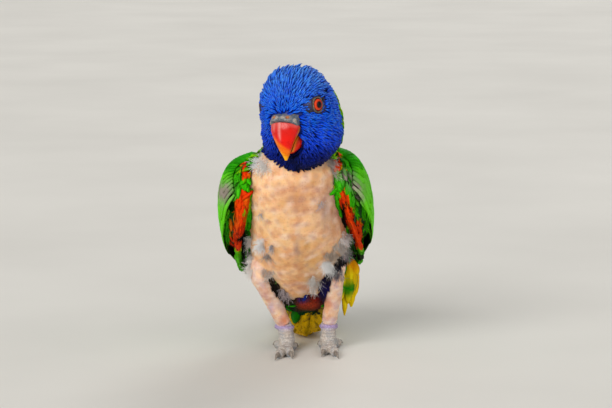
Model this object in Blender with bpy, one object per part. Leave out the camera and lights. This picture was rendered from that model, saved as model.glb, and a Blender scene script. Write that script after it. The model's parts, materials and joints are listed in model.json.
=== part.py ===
"""A rainbow lorikeet at life size, standing on the floor with a bare breast, belly and legs.

The bird faces -Y, its left side is +X and +Z is up. Sizes are in metres. The trunk is one
turned body that thin cuts part into torso, neck and head. The bill, eyes, wings, legs, toes
and tail are their own pieces, each trimmed to the one that it grows from with a fine gap.
The wing and tail feathers are overlapping vanes set in tiers.
"""

import math
import random

import bmesh
import bpy
import numpy as np
from mathutils import Matrix, Vector

# Driving sizes
GAP = 0.0003  # clear space that touching pieces keep
LEAN = math.radians(4.3)  # the trunk leans this far towards its right side
LEAN_BASE = Vector((0.0021, 0.0, 0.0175))  # the vent, about which it leans
HEAD_CENTRE = Vector((-0.0008, -0.0280, 0.1172))
HEAD_YAW = math.radians(29.0)  # the face is turned to the bird's right
HEAD_ROLL = math.radians(4.0)  # and its crown is tipped the same way
EYE_RADIUS = 0.0045
WING_SIDES = {"left": 1.0, "right": -1.0}
TAIL_LENGTH = 0.122
SOLE = 0.0  # level of the floor
FLOOR_SINK = 0.0004  # how far pads are pressed past the floor before they are cut flat

# Colours, as the photographed plumage and skin show them
BLUE = (0.03, 0.09, 0.55, 1.0)
GREEN = (0.05, 0.36, 0.03, 1.0)
OLIVE = (0.30, 0.42, 0.04, 1.0)
YELLOW = (0.85, 0.60, 0.04, 1.0)
SKIN = (0.80, 0.52, 0.33, 1.0)
SCALE_GREY = (0.50, 0.45, 0.40, 1.0)
CLAW_GREY = (0.30, 0.28, 0.26, 1.0)
BILL_RED = (0.85, 0.06, 0.02, 1.0)
CERE_GREY = (0.30, 0.27, 0.26, 1.0)
EYE_BLACK = (0.02, 0.01, 0.01, 1.0)


def clear_scene():
    for obj in list(bpy.data.objects):
        bpy.data.objects.remove(obj, do_unlink=True)


def material(name, colour, roughness=0.6):
    made = bpy.data.materials.get(name)
    if made is None:
        made = bpy.data.materials.new(name)
        made.use_nodes = True
        shader = made.node_tree.nodes["Principled BSDF"]
        shader.inputs["Base Color"].default_value = colour
        shader.inputs["Roughness"].default_value = roughness
    return made


def smooth_rows(rows, count):
    """Rows of numbers resampled along one Catmull-Rom curve through all of them."""
    points = np.array(rows, float)
    padded = np.vstack([2 * points[0] - points[1], points, 2 * points[-1] - points[-2]])
    found = []
    for at in np.linspace(0, len(points) - 1, count):
        i = min(int(at), len(points) - 2)
        t = at - i
        a, b, c, d = padded[i : i + 4]
        found.append(
            0.5
            * (
                2 * b
                + (c - a) * t
                + (2 * a - 5 * b + 4 * c - d) * t**2
                + (3 * b - a - 3 * c + d) * t**3
            )
        )
    return np.array(found)


def unit(vector):
    return vector / np.linalg.norm(vector)


def oval(centre, side, up, half_width, half_up, half_down, corners, power=2.0):
    """One closed ring of points, an oval with its own height above and below the centre."""
    points = []
    for k in range(corners):
        angle = 2 * math.pi * k / corners
        across, rise = math.cos(angle), math.sin(angle)
        across = math.copysign(abs(across) ** (2 / power), across) * half_width
        rise = math.copysign(abs(rise) ** (2 / power), rise)
        rise *= half_up if rise > 0 else half_down
        points.append(centre + side * across + up * rise)
    return np.array(points)


def mesh_object(name, points, faces):
    mesh = bpy.data.meshes.new(name)
    mesh.from_pydata([tuple(p) for p in points], [], faces)
    shaped = bmesh.new()
    shaped.from_mesh(mesh)
    bmesh.ops.recalc_face_normals(shaped, faces=shaped.faces)
    if shaped.calc_volume(signed=True) < 0:
        bmesh.ops.reverse_faces(shaped, faces=shaped.faces)
    shaped.to_mesh(mesh)
    shaped.free()
    obj = bpy.data.objects.new(name, mesh)
    bpy.context.scene.collection.objects.link(obj)
    return obj


def loft(name, rings, flat_ends=False):
    """A closed body through rings of equal count. A fan of triangles round a middle point
    closes each end, or where the rings are thin crescents, a strip of faces across them."""
    corners = len(rings[0])
    points = [p for ring in rings for p in ring]
    faces = []
    for r in range(len(rings) - 1):
        for k in range(corners):
            a, b = r * corners + k, r * corners + (k + 1) % corners
            faces.append((a, b, b + corners, a + corners))
    for ring, start in ((rings[0], 0), (rings[-1], (len(rings) - 1) * corners)):
        last = start + corners - 1
        if flat_ends:
            for k in range(corners // 2 - 1):
                faces.append((start + k, start + k + 1, last - k - 1, last - k))
        else:
            hub = len(points)
            points.append(ring.mean(axis=0))
            faces += [(hub, start + k, start + (k + 1) % corners) for k in range(corners)]
    return mesh_object(name, points, faces)


def tube_rings(path, radii, corners):
    """Rings round a bent path, each turned no more than the path's own bend asks for."""
    path = np.array(path, float)
    along = np.gradient(path, axis=0)
    side = np.cross(along[0], (0, 0, 1))
    if np.linalg.norm(side) < 0.5 * np.linalg.norm(along[0]):
        side = np.array((1.0, 0, 0))
    rings = []
    for point, tangent, radius in zip(path, along, radii):
        tangent = unit(tangent)
        side = unit(side - tangent * np.dot(side, tangent))
        rings.append(oval(point, side, np.cross(side, tangent), radius, radius, radius, corners))
    return rings


def evaluated_mesh(obj):
    bpy.context.view_layer.update()
    graph = bpy.context.evaluated_depsgraph_get()
    return bpy.data.meshes.new_from_object(obj.evaluated_get(graph))


def apply_modifiers(obj):
    shaped = evaluated_mesh(obj)
    obj.modifiers.clear()
    obj.data = shaped


def keep_largest(obj):
    """Leaves the mesh's largest closed surface, so that no scrap or sealed hollow stays."""
    shaped = bmesh.new()
    shaped.from_mesh(obj.data)
    unseen, islands = set(shaped.verts), []
    while unseen:
        edge_of_search = [unseen.pop()]
        island = set(edge_of_search)
        while edge_of_search:
            for edge in edge_of_search.pop().link_edges:
                for vert in edge.verts:
                    if vert in unseen:
                        unseen.discard(vert)
                        island.add(vert)
                        edge_of_search.append(vert)
        islands.append(island)
    largest = max(islands, key=len)
    stray = [v for v in shaped.verts if v not in largest]
    bmesh.ops.delete(shaped, geom=stray, context="VERTS")
    shaped.to_mesh(obj.data)
    shaped.free()


def fuse(obj, pieces, solver="MANIFOLD"):
    """Joins the pieces to obj with one Boolean union, and removes them."""
    group = bpy.data.collections.new(obj.name + "_pieces")
    for piece in pieces:
        group.objects.link(piece)
    join = obj.modifiers.new("fuse", "BOOLEAN")
    join.operation = "UNION"
    join.operand_type = "COLLECTION"
    join.collection = group
    join.solver = solver
    apply_modifiers(obj)
    for piece in pieces:
        bpy.data.objects.remove(piece, do_unlink=True)
    bpy.data.collections.remove(group)
    keep_largest(obj)
    return obj


def simplify(obj, angle=3.5):
    """Merges the nearly level scraps that a union leaves, and splits all into triangles."""
    shaped = bmesh.new()
    shaped.from_mesh(obj.data)
    bmesh.ops.dissolve_degenerate(shaped, dist=1e-6, edges=shaped.edges)
    bmesh.ops.dissolve_limit(
        shaped, angle_limit=math.radians(angle), verts=shaped.verts, edges=shaped.edges
    )
    bmesh.ops.triangulate(shaped, faces=shaped.faces)
    shaped.to_mesh(obj.data)
    shaped.free()
    return obj


def grown_copy(obj, gap):
    """A copy of obj with its surface moved out by the gap."""
    grown = obj.copy()
    grown.data = obj.data.copy()
    bpy.context.scene.collection.objects.link(grown)
    shaped = bmesh.new()
    shaped.from_mesh(grown.data)
    shaped.normal_update()
    for vert in shaped.verts:
        vert.co += vert.normal * gap * vert.calc_shell_factor()
    shaped.to_mesh(grown.data)
    shaped.free()
    return grown


def carve(obj, cutter, solver="MANIFOLD"):
    """Takes the cutter's volume out of obj, and removes the cutter."""
    cut = obj.modifiers.new("carve", "BOOLEAN")
    cut.operation = "DIFFERENCE"
    cut.object = cutter
    cut.solver = solver
    apply_modifiers(obj)
    bpy.data.objects.remove(cutter, do_unlink=True)
    keep_largest(obj)
    return obj


def trim(obj, neighbour, gap=GAP):
    return carve(obj, grown_copy(neighbour, gap))


def keep_side(obj, point, normal):
    """Cuts obj with a plane and keeps what lies on the normal's side, with a flat face."""
    shaped = bmesh.new()
    shaped.from_mesh(obj.data)
    bmesh.ops.bisect_plane(
        shaped,
        geom=shaped.verts[:] + shaped.edges[:] + shaped.faces[:],
        dist=1e-7,
        plane_co=point,
        plane_no=normal,
        clear_inner=True,
    )
    rim = [e for e in shaped.edges if e.is_boundary]
    if rim:
        bmesh.ops.holes_fill(shaped, edges=rim, sides=0)
    bmesh.ops.recalc_face_normals(shaped, faces=shaped.faces)
    shaped.to_mesh(obj.data)
    shaped.free()
    return obj


def copy_of(obj, name):
    made = obj.copy()
    made.data = obj.data.copy()
    made.name = name
    bpy.context.scene.collection.objects.link(made)
    return made


def flatten_on_floor(obj):
    return keep_side(obj, Vector((0, 0, SOLE)), Vector((0, 0, 1)))


def finish(obj, surface):
    """Gives a node its material and smooth faces with sharp edges kept."""
    obj.data.materials.clear()
    obj.data.materials.append(surface)
    obj.data.shade_smooth()
    obj.data.set_sharp_from_angle(angle=math.radians(40))
    return obj


def vane(name, path, ups, widths, thickness, crown=0.12):
    """One feather's vane: a thin arched strip along a path, split into triangles alike on
    both faces. ups are the outward directions along it, and widths the vane's full widths."""
    path = np.array(path, float)
    along = np.gradient(path, axis=0)
    points = []
    for point, tangent, up, width in zip(path, along, ups, widths):
        side = unit(np.cross(up, unit(tangent)))
        lift = unit(np.cross(unit(tangent), side))
        half = width / 2
        for face in (0.5, -0.5):
            for across, rise in ((-1, 0.0), (0, crown * width), (1, 0.0)):
                points.append(point + side * half * across + lift * (rise + face * thickness))
    faces = []
    for i in range(len(path) - 1):
        a, b = 6 * i, 6 * (i + 1)
        for j in (0, 1):
            faces.append((a + j, a + j + 1, b + j))
            faces.append((a + j + 1, b + j + 1, b + j))
            faces.append((a + 3 + j + 1, a + 3 + j, b + 3 + j))
            faces.append((a + 3 + j + 1, b + 3 + j, b + 3 + j + 1))
        for top, low in ((0, 3), (2, 5)):
            faces.append((a + top, b + top, a + low))
            faces.append((b + top, b + low, a + low))
    for a in (0, 6 * (len(path) - 1)):
        faces.append((a, a + 1, a + 3))
        faces.append((a + 1, a + 4, a + 3))
        faces.append((a + 1, a + 2, a + 4))
        faces.append((a + 2, a + 5, a + 4))
    return mesh_object(name, points, faces)


def vane_widths(full, count, root=0.45, tip=0.3, tip_share=0.3):
    """Widths along a vane: narrower at its root, full in the middle and rounded at its tip."""
    widths = []
    for t in np.linspace(0, 1, count):
        opening = root + (1 - root) * min(t / 0.3, 1.0)
        left = max(0.0, (t - (1 - tip_share)) / tip_share)
        closing = tip + (1 - tip) * math.sqrt(max(0.0, 1 - left**2))
        widths.append(full * opening * closing)
    return widths


# The trunk: rows from inside the head, down the neck and body to the root of the tail.
# Each row is x, y, z, half width, and depth of the back and of the breast from the spine.
TRUNK_ROWS = (
    (0.0046, -0.0270, 0.1130, 0.0110, 0.0120, 0.0060),
    (0.0026, -0.0255, 0.1040, 0.0125, 0.0155, 0.0080),
    (0.0006, -0.0225, 0.0965, 0.0180, 0.0185, 0.0135),
    (0.0, -0.0185, 0.0895, 0.0213, 0.0202, 0.0170),
    (0.0, -0.0130, 0.0810, 0.0225, 0.0216, 0.0205),
    (0.0, -0.0050, 0.0710, 0.0232, 0.0226, 0.0235),
    (0.0, 0.0030, 0.0610, 0.0238, 0.0224, 0.0245),
    (0.0, 0.0115, 0.0500, 0.0234, 0.0208, 0.0235),
    (0.0, 0.0195, 0.0400, 0.0208, 0.0182, 0.0215),
    (0.0, 0.0275, 0.0310, 0.0165, 0.0150, 0.0180),
    (0.0, 0.0360, 0.0245, 0.0122, 0.0120, 0.0120),
    (0.0, 0.0450, 0.0200, 0.0090, 0.0085, 0.0085),
)
TRUNK_RINGS = 22
TRUNK_CORNERS = 24

# The head's plumage in its own turned frame: forward, up, half width, depth in front and
# behind, from the crown down to the throat.
HEAD_ROWS = (
    (0.0018, 0.0250, 0.0030, 0.0030, 0.0030),
    (0.0016, 0.0234, 0.0088, 0.0082, 0.0084),
    (0.0010, 0.0190, 0.0138, 0.0125, 0.0132),
    (0.0002, 0.0135, 0.0174, 0.0149, 0.0166),
    (-0.0008, 0.0070, 0.0194, 0.0154, 0.0180),
    (-0.0014, 0.0000, 0.0202, 0.0150, 0.0186),
    (-0.0016, -0.0070, 0.0204, 0.0144, 0.0184),
    (-0.0012, -0.0130, 0.0190, 0.0130, 0.0172),
    (-0.0004, -0.0185, 0.0156, 0.0110, 0.0146),
    (0.0006, -0.0228, 0.0100, 0.0076, 0.0096),
    (0.0010, -0.0248, 0.0030, 0.0030, 0.0030),
)
HEAD_RINGS = 18
HEAD_CORNERS = 24
HEAD_POWER = 2.2

# Where the neck ends on the torso: a point and the way onward
COLLAR_CUT = (Vector((0, -0.0230, 0.0900)), Vector((0, -0.36, 0.93)).normalized())


def leaned(obj):
    """Leans a piece of the trunk or a wing about the vent, and sets it over the vent's place."""
    turn = (
        Matrix.Translation(LEAN_BASE)
        @ Matrix.Rotation(-LEAN, 4, "Y")
        @ Matrix.Translation((0, 0, -LEAN_BASE.z))
    )
    obj.data.transform(turn)
    obj.data.update()
    return obj


def trunk_body():
    rows = smooth_rows(TRUNK_ROWS, TRUNK_RINGS)
    along = np.gradient(rows[:, :3], axis=0)
    side = np.array((1.0, 0, 0))
    rings = []
    for tangent, row in zip(along, rows):
        tangent[0] = 0
        back = unit(np.cross(side, unit(tangent)))
        back = back if back[1] > 0 else -back
        rings.append(oval(row[:3], side, back, row[3], row[4], row[5], TRUNK_CORNERS, 2.15))
    return leaned(loft("trunk", rings))


def face_transform():
    turn = Matrix.Rotation(-HEAD_ROLL, 4, "Y") @ Matrix.Rotation(-HEAD_YAW, 4, "Z")
    return Matrix.Translation(HEAD_CENTRE) @ turn


def placed_on_face(obj):
    """Moves a piece modelled with x left, -y forward and z up from the head's centre."""
    obj.data.transform(face_transform())
    obj.data.update()
    return obj


def head_body():
    rows = smooth_rows(HEAD_ROWS, HEAD_RINGS)
    side = np.array((1.0, 0, 0))
    front = np.array((0, -1.0, 0))
    rings = []
    for forward, up, half_width, before, behind in rows:
        centre = np.array((0, -forward, up))
        rings.append(
            oval(centre, side, front, half_width, before, behind, HEAD_CORNERS, HEAD_POWER)
        )
    return placed_on_face(loft("head", rings))


# Eyes and lids, in the head's frame: forward, left and up of the left eyeball's centre
EYE_PLACE = (0.0060, 0.0116, 0.0080)
EYE_AXIS = (0.26, 0.96, 0.06)
LID_RADIUS = 0.0035
LID_THICKNESS = 0.0006
LID_OVAL = 0.04  # how much taller and narrower than round the lids' opening is
LID_TURNS = 16
LID_CORNERS = 6
LID_HEIGHT = 0.0033  # how far out from the eyeball's centre the ring of lids lies
SOCKET_RADIUS = 0.0085
SOCKET_DEPTH = 0.0002  # how far under the lids the bowl in the plumage reaches


def face_axis(side):
    return Vector((EYE_AXIS[1] * WING_SIDES[side], -EYE_AXIS[0], EYE_AXIS[2])).normalized()


def face_ball(name, place, radius, divisions=(20, 12)):
    """A ball set in the head's frame, at a place given as x left, -y forward and z up."""
    shaped = bmesh.new()
    bmesh.ops.create_uvsphere(
        shaped,
        u_segments=divisions[0],
        v_segments=divisions[1],
        radius=radius,
        matrix=Matrix.Translation(place),
    )
    mesh = bpy.data.meshes.new(name)
    shaped.to_mesh(mesh)
    shaped.free()
    obj = bpy.data.objects.new(name, mesh)
    bpy.context.scene.collection.objects.link(obj)
    return placed_on_face(obj)


def eye_centre(side):
    return Vector((EYE_PLACE[1] * WING_SIDES[side], -EYE_PLACE[0], EYE_PLACE[2]))


def eyeball(side):
    return face_ball("eye_" + side, eye_centre(side), EYE_RADIUS, (16, 8))


def eye_socket(side):
    """The shallow bowl that the plumage leaves round the lids."""
    reach = LID_HEIGHT - SOCKET_DEPTH + SOCKET_RADIUS
    place = eye_centre(side) + face_axis(side) * reach
    return face_ball("socket", place, SOCKET_RADIUS, (16, 10))


def lid_ring(side):
    axis = face_axis(side)
    place = eye_centre(side) + axis * LID_HEIGHT
    across = axis.cross(Vector((0, 0, 1))).normalized()
    rise = across.cross(axis).normalized()
    corners, turns = LID_CORNERS, LID_TURNS
    points, faces = [], []
    for i in range(turns):
        angle = 2 * math.pi * i / turns
        out = across * math.cos(angle) * (1 - LID_OVAL) + rise * math.sin(angle) * (1 + LID_OVAL)
        for k in range(corners):
            tilt = 2 * math.pi * k / corners
            reach = LID_RADIUS + LID_THICKNESS * math.cos(tilt)
            points.append(place + out * reach + axis * LID_THICKNESS * math.sin(tilt))
    for i in range(turns):
        for k in range(corners):
            a, b = i * corners + k, i * corners + (k + 1) % corners
            ahead = ((i + 1) % turns) * corners
            faces.append((a, b, ahead + (k + 1) % corners, ahead + k))
    return placed_on_face(mesh_object("lids_" + side, points, faces))


# The bill in the head's frame. Each row is forward, up, half width, height towards the
# culmen and height towards the cutting edge.
CERE_ROWS = (
    (0.0085, 0.0036, 0.0062, 0.0050, 0.0046),
    (0.0115, 0.0020, 0.0067, 0.0054, 0.0050),
    (0.0132, 0.0007, 0.0069, 0.0055, 0.0052),
    (0.0144, -0.0006, 0.0067, 0.0050, 0.0052),
)
UPPER_BILL_ROWS = (
    (0.0146, -0.0009, 0.0067, 0.0050, 0.0054),
    (0.0158, -0.0032, 0.0062, 0.0044, 0.0058),
    (0.0163, -0.0060, 0.0052, 0.0036, 0.0054),
    (0.0163, -0.0090, 0.0039, 0.0029, 0.0042),
    (0.0159, -0.0118, 0.0027, 0.0022, 0.0028),
    (0.0156, -0.0140, 0.0016, 0.0014, 0.0015),
    (0.0157, -0.0159, 0.0005, 0.0005, 0.0005),
)
LOWER_BILL_ROWS = (
    (0.0025, -0.0035, 0.0056, 0.0038, 0.0040),
    (0.0062, -0.0062, 0.0059, 0.0040, 0.0042),
    (0.0092, -0.0088, 0.0055, 0.0036, 0.0038),
    (0.0113, -0.0112, 0.0042, 0.0026, 0.0028),
    (0.0127, -0.0132, 0.0022, 0.0014, 0.0014),
)
BILL_CORNERS = 18
NOSTRIL_PLACE = (0.0168, 0.0034, 0.0040)
NOSTRIL_RADIUS = 0.0009
BILL_BOWL = (0.0190, -0.0090)  # forward and up of the bowl that bares the lower bill
BILL_BOWL_RADIUS = 0.0100


def bill_rings(rows, count, power=2.0):
    """Rings across the bill's own bent centre line, each in the plane that it crosses."""
    rows = smooth_rows(rows, count)
    line = np.column_stack([np.zeros(len(rows)), -rows[:, 0], rows[:, 1]])
    along = np.gradient(line, axis=0)
    side = np.array((1.0, 0, 0))
    rings = []
    for centre, tangent, row in zip(line, along, rows):
        rise = unit(np.cross(unit(tangent), side))
        rise = rise if rise[2] - rise[1] > 0 else -rise
        rings.append(oval(centre, side, rise, row[2], row[3], row[4], BILL_CORNERS, power))
    return rings


def nostril_cutter(side):
    forward, across, up = NOSTRIL_PLACE
    place = Vector((across * WING_SIDES[side], -forward, up))
    return face_ball("nostril", place, NOSTRIL_RADIUS, (10, 6))


# Legs. Knee, ankle and ball of each foot, in world space, and the limbs' thickness.
HIP = {"right": (-0.0150, 0.0050, 0.0510), "left": (0.0150, 0.0070, 0.0510)}
KNEE = {"right": (-0.0190, -0.0020, 0.0395), "left": (0.0180, 0.0000, 0.0395)}
ANKLE = {"right": (-0.0080, 0.0095, 0.0130), "left": (0.0142, 0.0115, 0.0130)}
BALL = {"right": (-0.0066, 0.0015, 0.0042), "left": (0.0138, 0.0055, 0.0042)}
SHIN_RADII = (0.0060, 0.0064, 0.0058, 0.0050, 0.0043, 0.0039, 0.0037)
TARSUS_RADII = (0.0037, 0.0034, 0.0031, 0.0032, 0.0036, 0.0022)
HEEL_REACH = 0.0048  # how far the shin's line runs on before the foot turns forwards
LEG_CORNERS = 12

# Toes: angle from straight ahead (outwards positive), length without the claw, joints
TOES = {
    "inner_front": (-15.0, 0.0100, 2),
    "outer_front": (12.0, 0.0135, 3),
    "outer_back": (153.0, 0.0120, 3),
    "inner_back": (-158.0, 0.0085, 1),
}
TOE_RADIUS = 0.0023
TOE_CORNERS = 8
CLAW_CORNERS = 6
CLAW_LENGTH = {
    "inner_front": 0.0055,
    "outer_front": 0.0062,
    "outer_back": 0.0058,
    "inner_back": 0.0052,
}
FOOT_TURN = {"right": 4.0, "left": 2.0}


def shin(side):
    """From inside the flank over the knee to the ankle."""
    hip, knee, ankle = Vector(HIP[side]), Vector(KNEE[side]), Vector(ANKLE[side])
    stops = [hip, hip.lerp(knee, 0.55), knee, knee.lerp(ankle, 0.35), knee.lerp(ankle, 0.7), ankle]
    path = smooth_rows([tuple(p) for p in stops], 10)
    radii = np.interp(np.linspace(0, 1, 10), np.linspace(0, 1, len(SHIN_RADII)), SHIN_RADII)
    return loft("shin_" + side, tube_rings(path, radii, LEG_CORNERS))


def tarsus(side):
    """From the ankle in one even bend down to the ball of the foot, with a round end."""
    ankle, ball = Vector(ANKLE[side]), Vector(BALL[side])
    shin_line = (ankle - Vector(KNEE[side])).normalized()
    start = ankle - shin_line * GAP
    bend = start + shin_line * HEEL_REACH
    path = []
    for t in np.linspace(0, 1, 8):
        path.append(tuple(start * (1 - t) ** 2 + bend * 2 * t * (1 - t) + ball * t**2))
    path.append(tuple(ball + (ball - bend).normalized() * 0.0016))
    radii = np.interp(np.linspace(0, 1, 9), np.linspace(0, 1, len(TARSUS_RADII)), TARSUS_RADII)
    return loft("tarsus_" + side, tube_rings(path, radii, LEG_CORNERS))


def toe_heading(side, toe):
    angle = math.radians(TOES[toe][0] + FOOT_TURN[side])
    return Vector((math.sin(angle) * WING_SIDES[side], -math.cos(angle), 0))


def toe_root(side):
    ball = Vector(BALL[side])
    return Vector((ball.x, ball.y, TOE_RADIUS - FLOOR_SINK))


def toe_piece(side, toe):
    """A toe with a pad swelling under each joint. It lies along the floor."""
    length, joints = TOES[toe][1:]
    heading = toe_heading(side, toe)
    root = toe_root(side)
    count = 4 * joints + 1
    path, radii = [], []
    for t in np.linspace(0, 1, count):
        pad = 0.5 - 0.5 * math.cos(2 * math.pi * joints * t)
        radius = TOE_RADIUS * (1.08 - 0.26 * t) * (0.88 + 0.17 * pad)
        rise = radius - FLOOR_SINK + 0.0012 * (1 - t) ** 2
        path.append(tuple(root.xy.to_3d() + heading * length * t + Vector((0, 0, rise))))
        radii.append(radius)
    return loft(f"toe_{toe}_{side}", tube_rings(path, radii, TOE_CORNERS))


def claw_piece(side, toe):
    """A curved claw that starts in the toe's blunt end and comes down close to the floor."""
    length = TOES[toe][1]
    heading = toe_heading(side, toe)
    end_radius = TOE_RADIUS * 0.82 * 0.88
    start = toe_root(side).xy.to_3d() + heading * (length - GAP)
    start.z = end_radius
    reach = CLAW_LENGTH[toe]
    path, radii = [], []
    for t in np.linspace(0, 1, 6):
        arch = 0.0013 * math.sin(math.pi * min(1.0, t * 1.15)) + 0.0002
        level = start.z * (1 - t) + 0.0004 * t + arch * (1 - 0.6 * t)
        path.append((start.x + heading.x * reach * t, start.y + heading.y * reach * t, level))
        radii.append(end_radius * 0.86 * (1 - t) ** 0.8 + 0.00012)
    return loft(f"claw_{toe}_{side}", tube_rings(path, radii, CLAW_CORNERS))


# The folded wing. Each row is the ventral edge point, the dorsal edge point, how far the
# outer face bulges, and the thickness of the feather mass, for the bird's left wing.
WING_ROWS = (
    (0.0210, -0.0245, 0.0925, 0.0185, -0.0180, 0.0965, 0.0012, 0.0034),
    (0.0265, -0.0270, 0.0870, 0.0165, -0.0110, 0.1000, 0.0066, 0.0100),
    (0.0310, -0.0230, 0.0755, 0.0155, 0.0010, 0.0985, 0.0096, 0.0125),
    (0.0338, -0.0120, 0.0625, 0.0140, 0.0140, 0.0895, 0.0104, 0.0120),
    (0.0338, 0.0040, 0.0505, 0.0125, 0.0270, 0.0775, 0.0098, 0.0092),
    (0.0310, 0.0220, 0.0402, 0.0105, 0.0390, 0.0650, 0.0082, 0.0060),
    (0.0262, 0.0420, 0.0305, 0.0085, 0.0520, 0.0535, 0.0062, 0.0036),
    (0.0200, 0.0640, 0.0240, 0.0070, 0.0670, 0.0410, 0.0040, 0.0024),
    (0.0135, 0.0860, 0.0185, 0.0060, 0.0860, 0.0300, 0.0020, 0.0016),
    (0.0075, 0.1060, 0.0145, 0.0045, 0.1060, 0.0200, 0.0008, 0.0012),
)
WING_CORE_START = 0.055  # the shares of the wing's length between which it has a solid core
WING_CORE_SHARE = 0.66
WING_CORE_RINGS = 12
WING_RING_HALF = 7
CORE_SINK = 0.0022  # how far the core lies under the wing's face where feathers cover it
CORE_LEAST = 0.001
COVERED_FROM = 0.12  # share of the length where the core starts to sink under the feathers
COVERED_OVER = 0.14
EDGE_CHORD = 0.02
WING_SAMPLES = smooth_rows(WING_ROWS, 120)
WING_OUTWARDS = (0.8, 0.0, 0.6)


def wing_row(share):
    at = min(1.0, max(0.0, share)) * (len(WING_SAMPLES) - 1)
    i = min(int(at), len(WING_SAMPLES) - 2)
    return WING_SAMPLES[i] + (WING_SAMPLES[i + 1] - WING_SAMPLES[i]) * (at - i)


def wing_outwards(share):
    """The direction square to the wing's face at the middle of its breadth."""
    row, ahead, behind = wing_row(share), wing_row(share + 0.01), wing_row(share - 0.01)
    along = (ahead[0:3] + ahead[3:6]) - (behind[0:3] + behind[3:6])
    out = unit(np.cross(along, row[3:6] - row[0:3]))
    return out if out[0] > 0 else -out


def wing_surface(share, chord):
    """A point on the wing's outer face. chord is 0 at the ventral and 1 at the dorsal edge."""
    row = wing_row(share)
    bulge = row[6] * math.sin(math.pi * min(1, max(0, chord)))
    return row[0:3] + (row[3:6] - row[0:3]) * chord + wing_outwards(share) * bulge


def wing_normal(share, chord):
    step = 0.02
    along = wing_surface(min(1, share + step), chord) - wing_surface(max(0, share - step), chord)
    across = wing_surface(share, chord + step) - wing_surface(share, chord - step)
    out = unit(np.cross(along, across))
    return out if np.dot(out, WING_OUTWARDS) > 0 else -out


def wing_core():
    """The feather mass of the folded wing: round in front, thin towards its tip and back."""
    rings = []
    chords = np.linspace(EDGE_CHORD, 1 - EDGE_CHORD, WING_RING_HALF)
    for share in np.linspace(WING_CORE_START, WING_CORE_SHARE, WING_CORE_RINGS):
        thickness, out = wing_row(share)[7], wing_outwards(share)
        covered = min(1.0, max(0.0, (share - COVERED_FROM) / COVERED_OVER))
        sink = CORE_SINK * covered
        outer = [wing_surface(share, c) for c in chords]
        sinks = sink * np.sqrt(np.sin(math.pi * (0.2 + 0.6 * chords)))
        face = [point - out * depth for point, depth in zip(outer, sinks)]
        inner = []
        for c, point in zip(chords[::-1], outer[::-1]):
            round_edge = math.sin(math.pi * (0.06 + 0.88 * c) ** 0.62) ** 0.6
            inner.append(point - out * max(thickness * round_edge, sink + CORE_LEAST))
        rings.append(np.array(face + inner))
    return loft("wing", rings, flat_ends=True)


# Tiers of feathers on the wing. Each tier gives how many, the shares of the wing's length
# where roots and tips lie at its ventral and its dorsal end, the chords of those ends at
# root and tip, the vane's width, and how high it lies over the wing's face.
WING_TIERS = {
    "primary": dict(
        count=6,
        root=(0.50, 0.48),
        tip=(1.0, 0.80),
        root_chord=(0.14, 0.55),
        tip_chord=(0.32, 0.66),
        width=0.0092,
        lift=0.0,
        steps=4,
    ),
    "secondary": dict(
        count=6,
        root=(0.36, 0.28),
        tip=(0.72, 0.64),
        root_chord=(0.24, 0.90),
        tip_chord=(0.40, 0.93),
        width=0.0100,
        lift=-0.0004,
        steps=4,
    ),
    "greater_covert": dict(
        count=6,
        root=(0.22, 0.13),
        tip=(0.48, 0.38),
        root_chord=(0.15, 0.86),
        tip_chord=(0.16, 0.86),
        width=0.0106,
        lift=0.0005,
        steps=4,
    ),
}
VANE_THICKNESS = 0.00055
SHINGLE_STEP = 0.0009  # how far each vane lies over the next one towards the ventral edge
ROOT_SINK = 0.0030


def wing_vane(tier, index, rng):
    share_of = index / (tier["count"] - 1)

    def blend(pair):
        return pair[0] + (pair[1] - pair[0]) * share_of

    root, tip = blend(tier["root"]), blend(tier["tip"])
    tip += rng.uniform(-0.006, 0.006)
    tip = min(tip, 1.0)
    start, end = blend(tier["root_chord"]), blend(tier["tip_chord"])
    path, ups = [], []
    for t in np.linspace(0, 1, tier["steps"] + 1):
        share = root + (tip - root) * t
        chord = start + (end - start) * t
        normal = wing_normal(share, chord)
        rise = tier["lift"] - ROOT_SINK * max(0.0, 1 - t / 0.25)
        path.append(wing_surface(share, chord) + normal * rise)
        chordwise = unit(wing_surface(share, chord + 0.02) - wing_surface(share, chord - 0.02))
        tilt = math.atan2(SHINGLE_STEP, tier["width"] * 0.55)
        ups.append(normal * math.cos(tilt) + chordwise * math.sin(tilt))
    widths = vane_widths(tier["width"] * rng.uniform(0.95, 1.05), tier["steps"] + 1)
    return vane("vane", path, ups, widths, VANE_THICKNESS, crown=0.05)


def mirrored(obj):
    obj.data.transform(Matrix.Scale(-1, 4, Vector((1, 0, 0))))
    obj.data.flip_normals()
    return obj


def wing(side, neighbours):
    rng = random.Random(11 if side == "left" else 12)
    core = wing_core()
    pieces = [
        wing_vane(tier, index, rng) for tier in WING_TIERS.values() for index in range(tier["count"])
    ]
    core.name = "wing_" + side
    if pieces:
        simplify(fuse(core, pieces))
    if side == "right":
        mirrored(core)
    leaned(core)
    for neighbour in neighbours:
        trim(core, neighbour)
    return core


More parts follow.
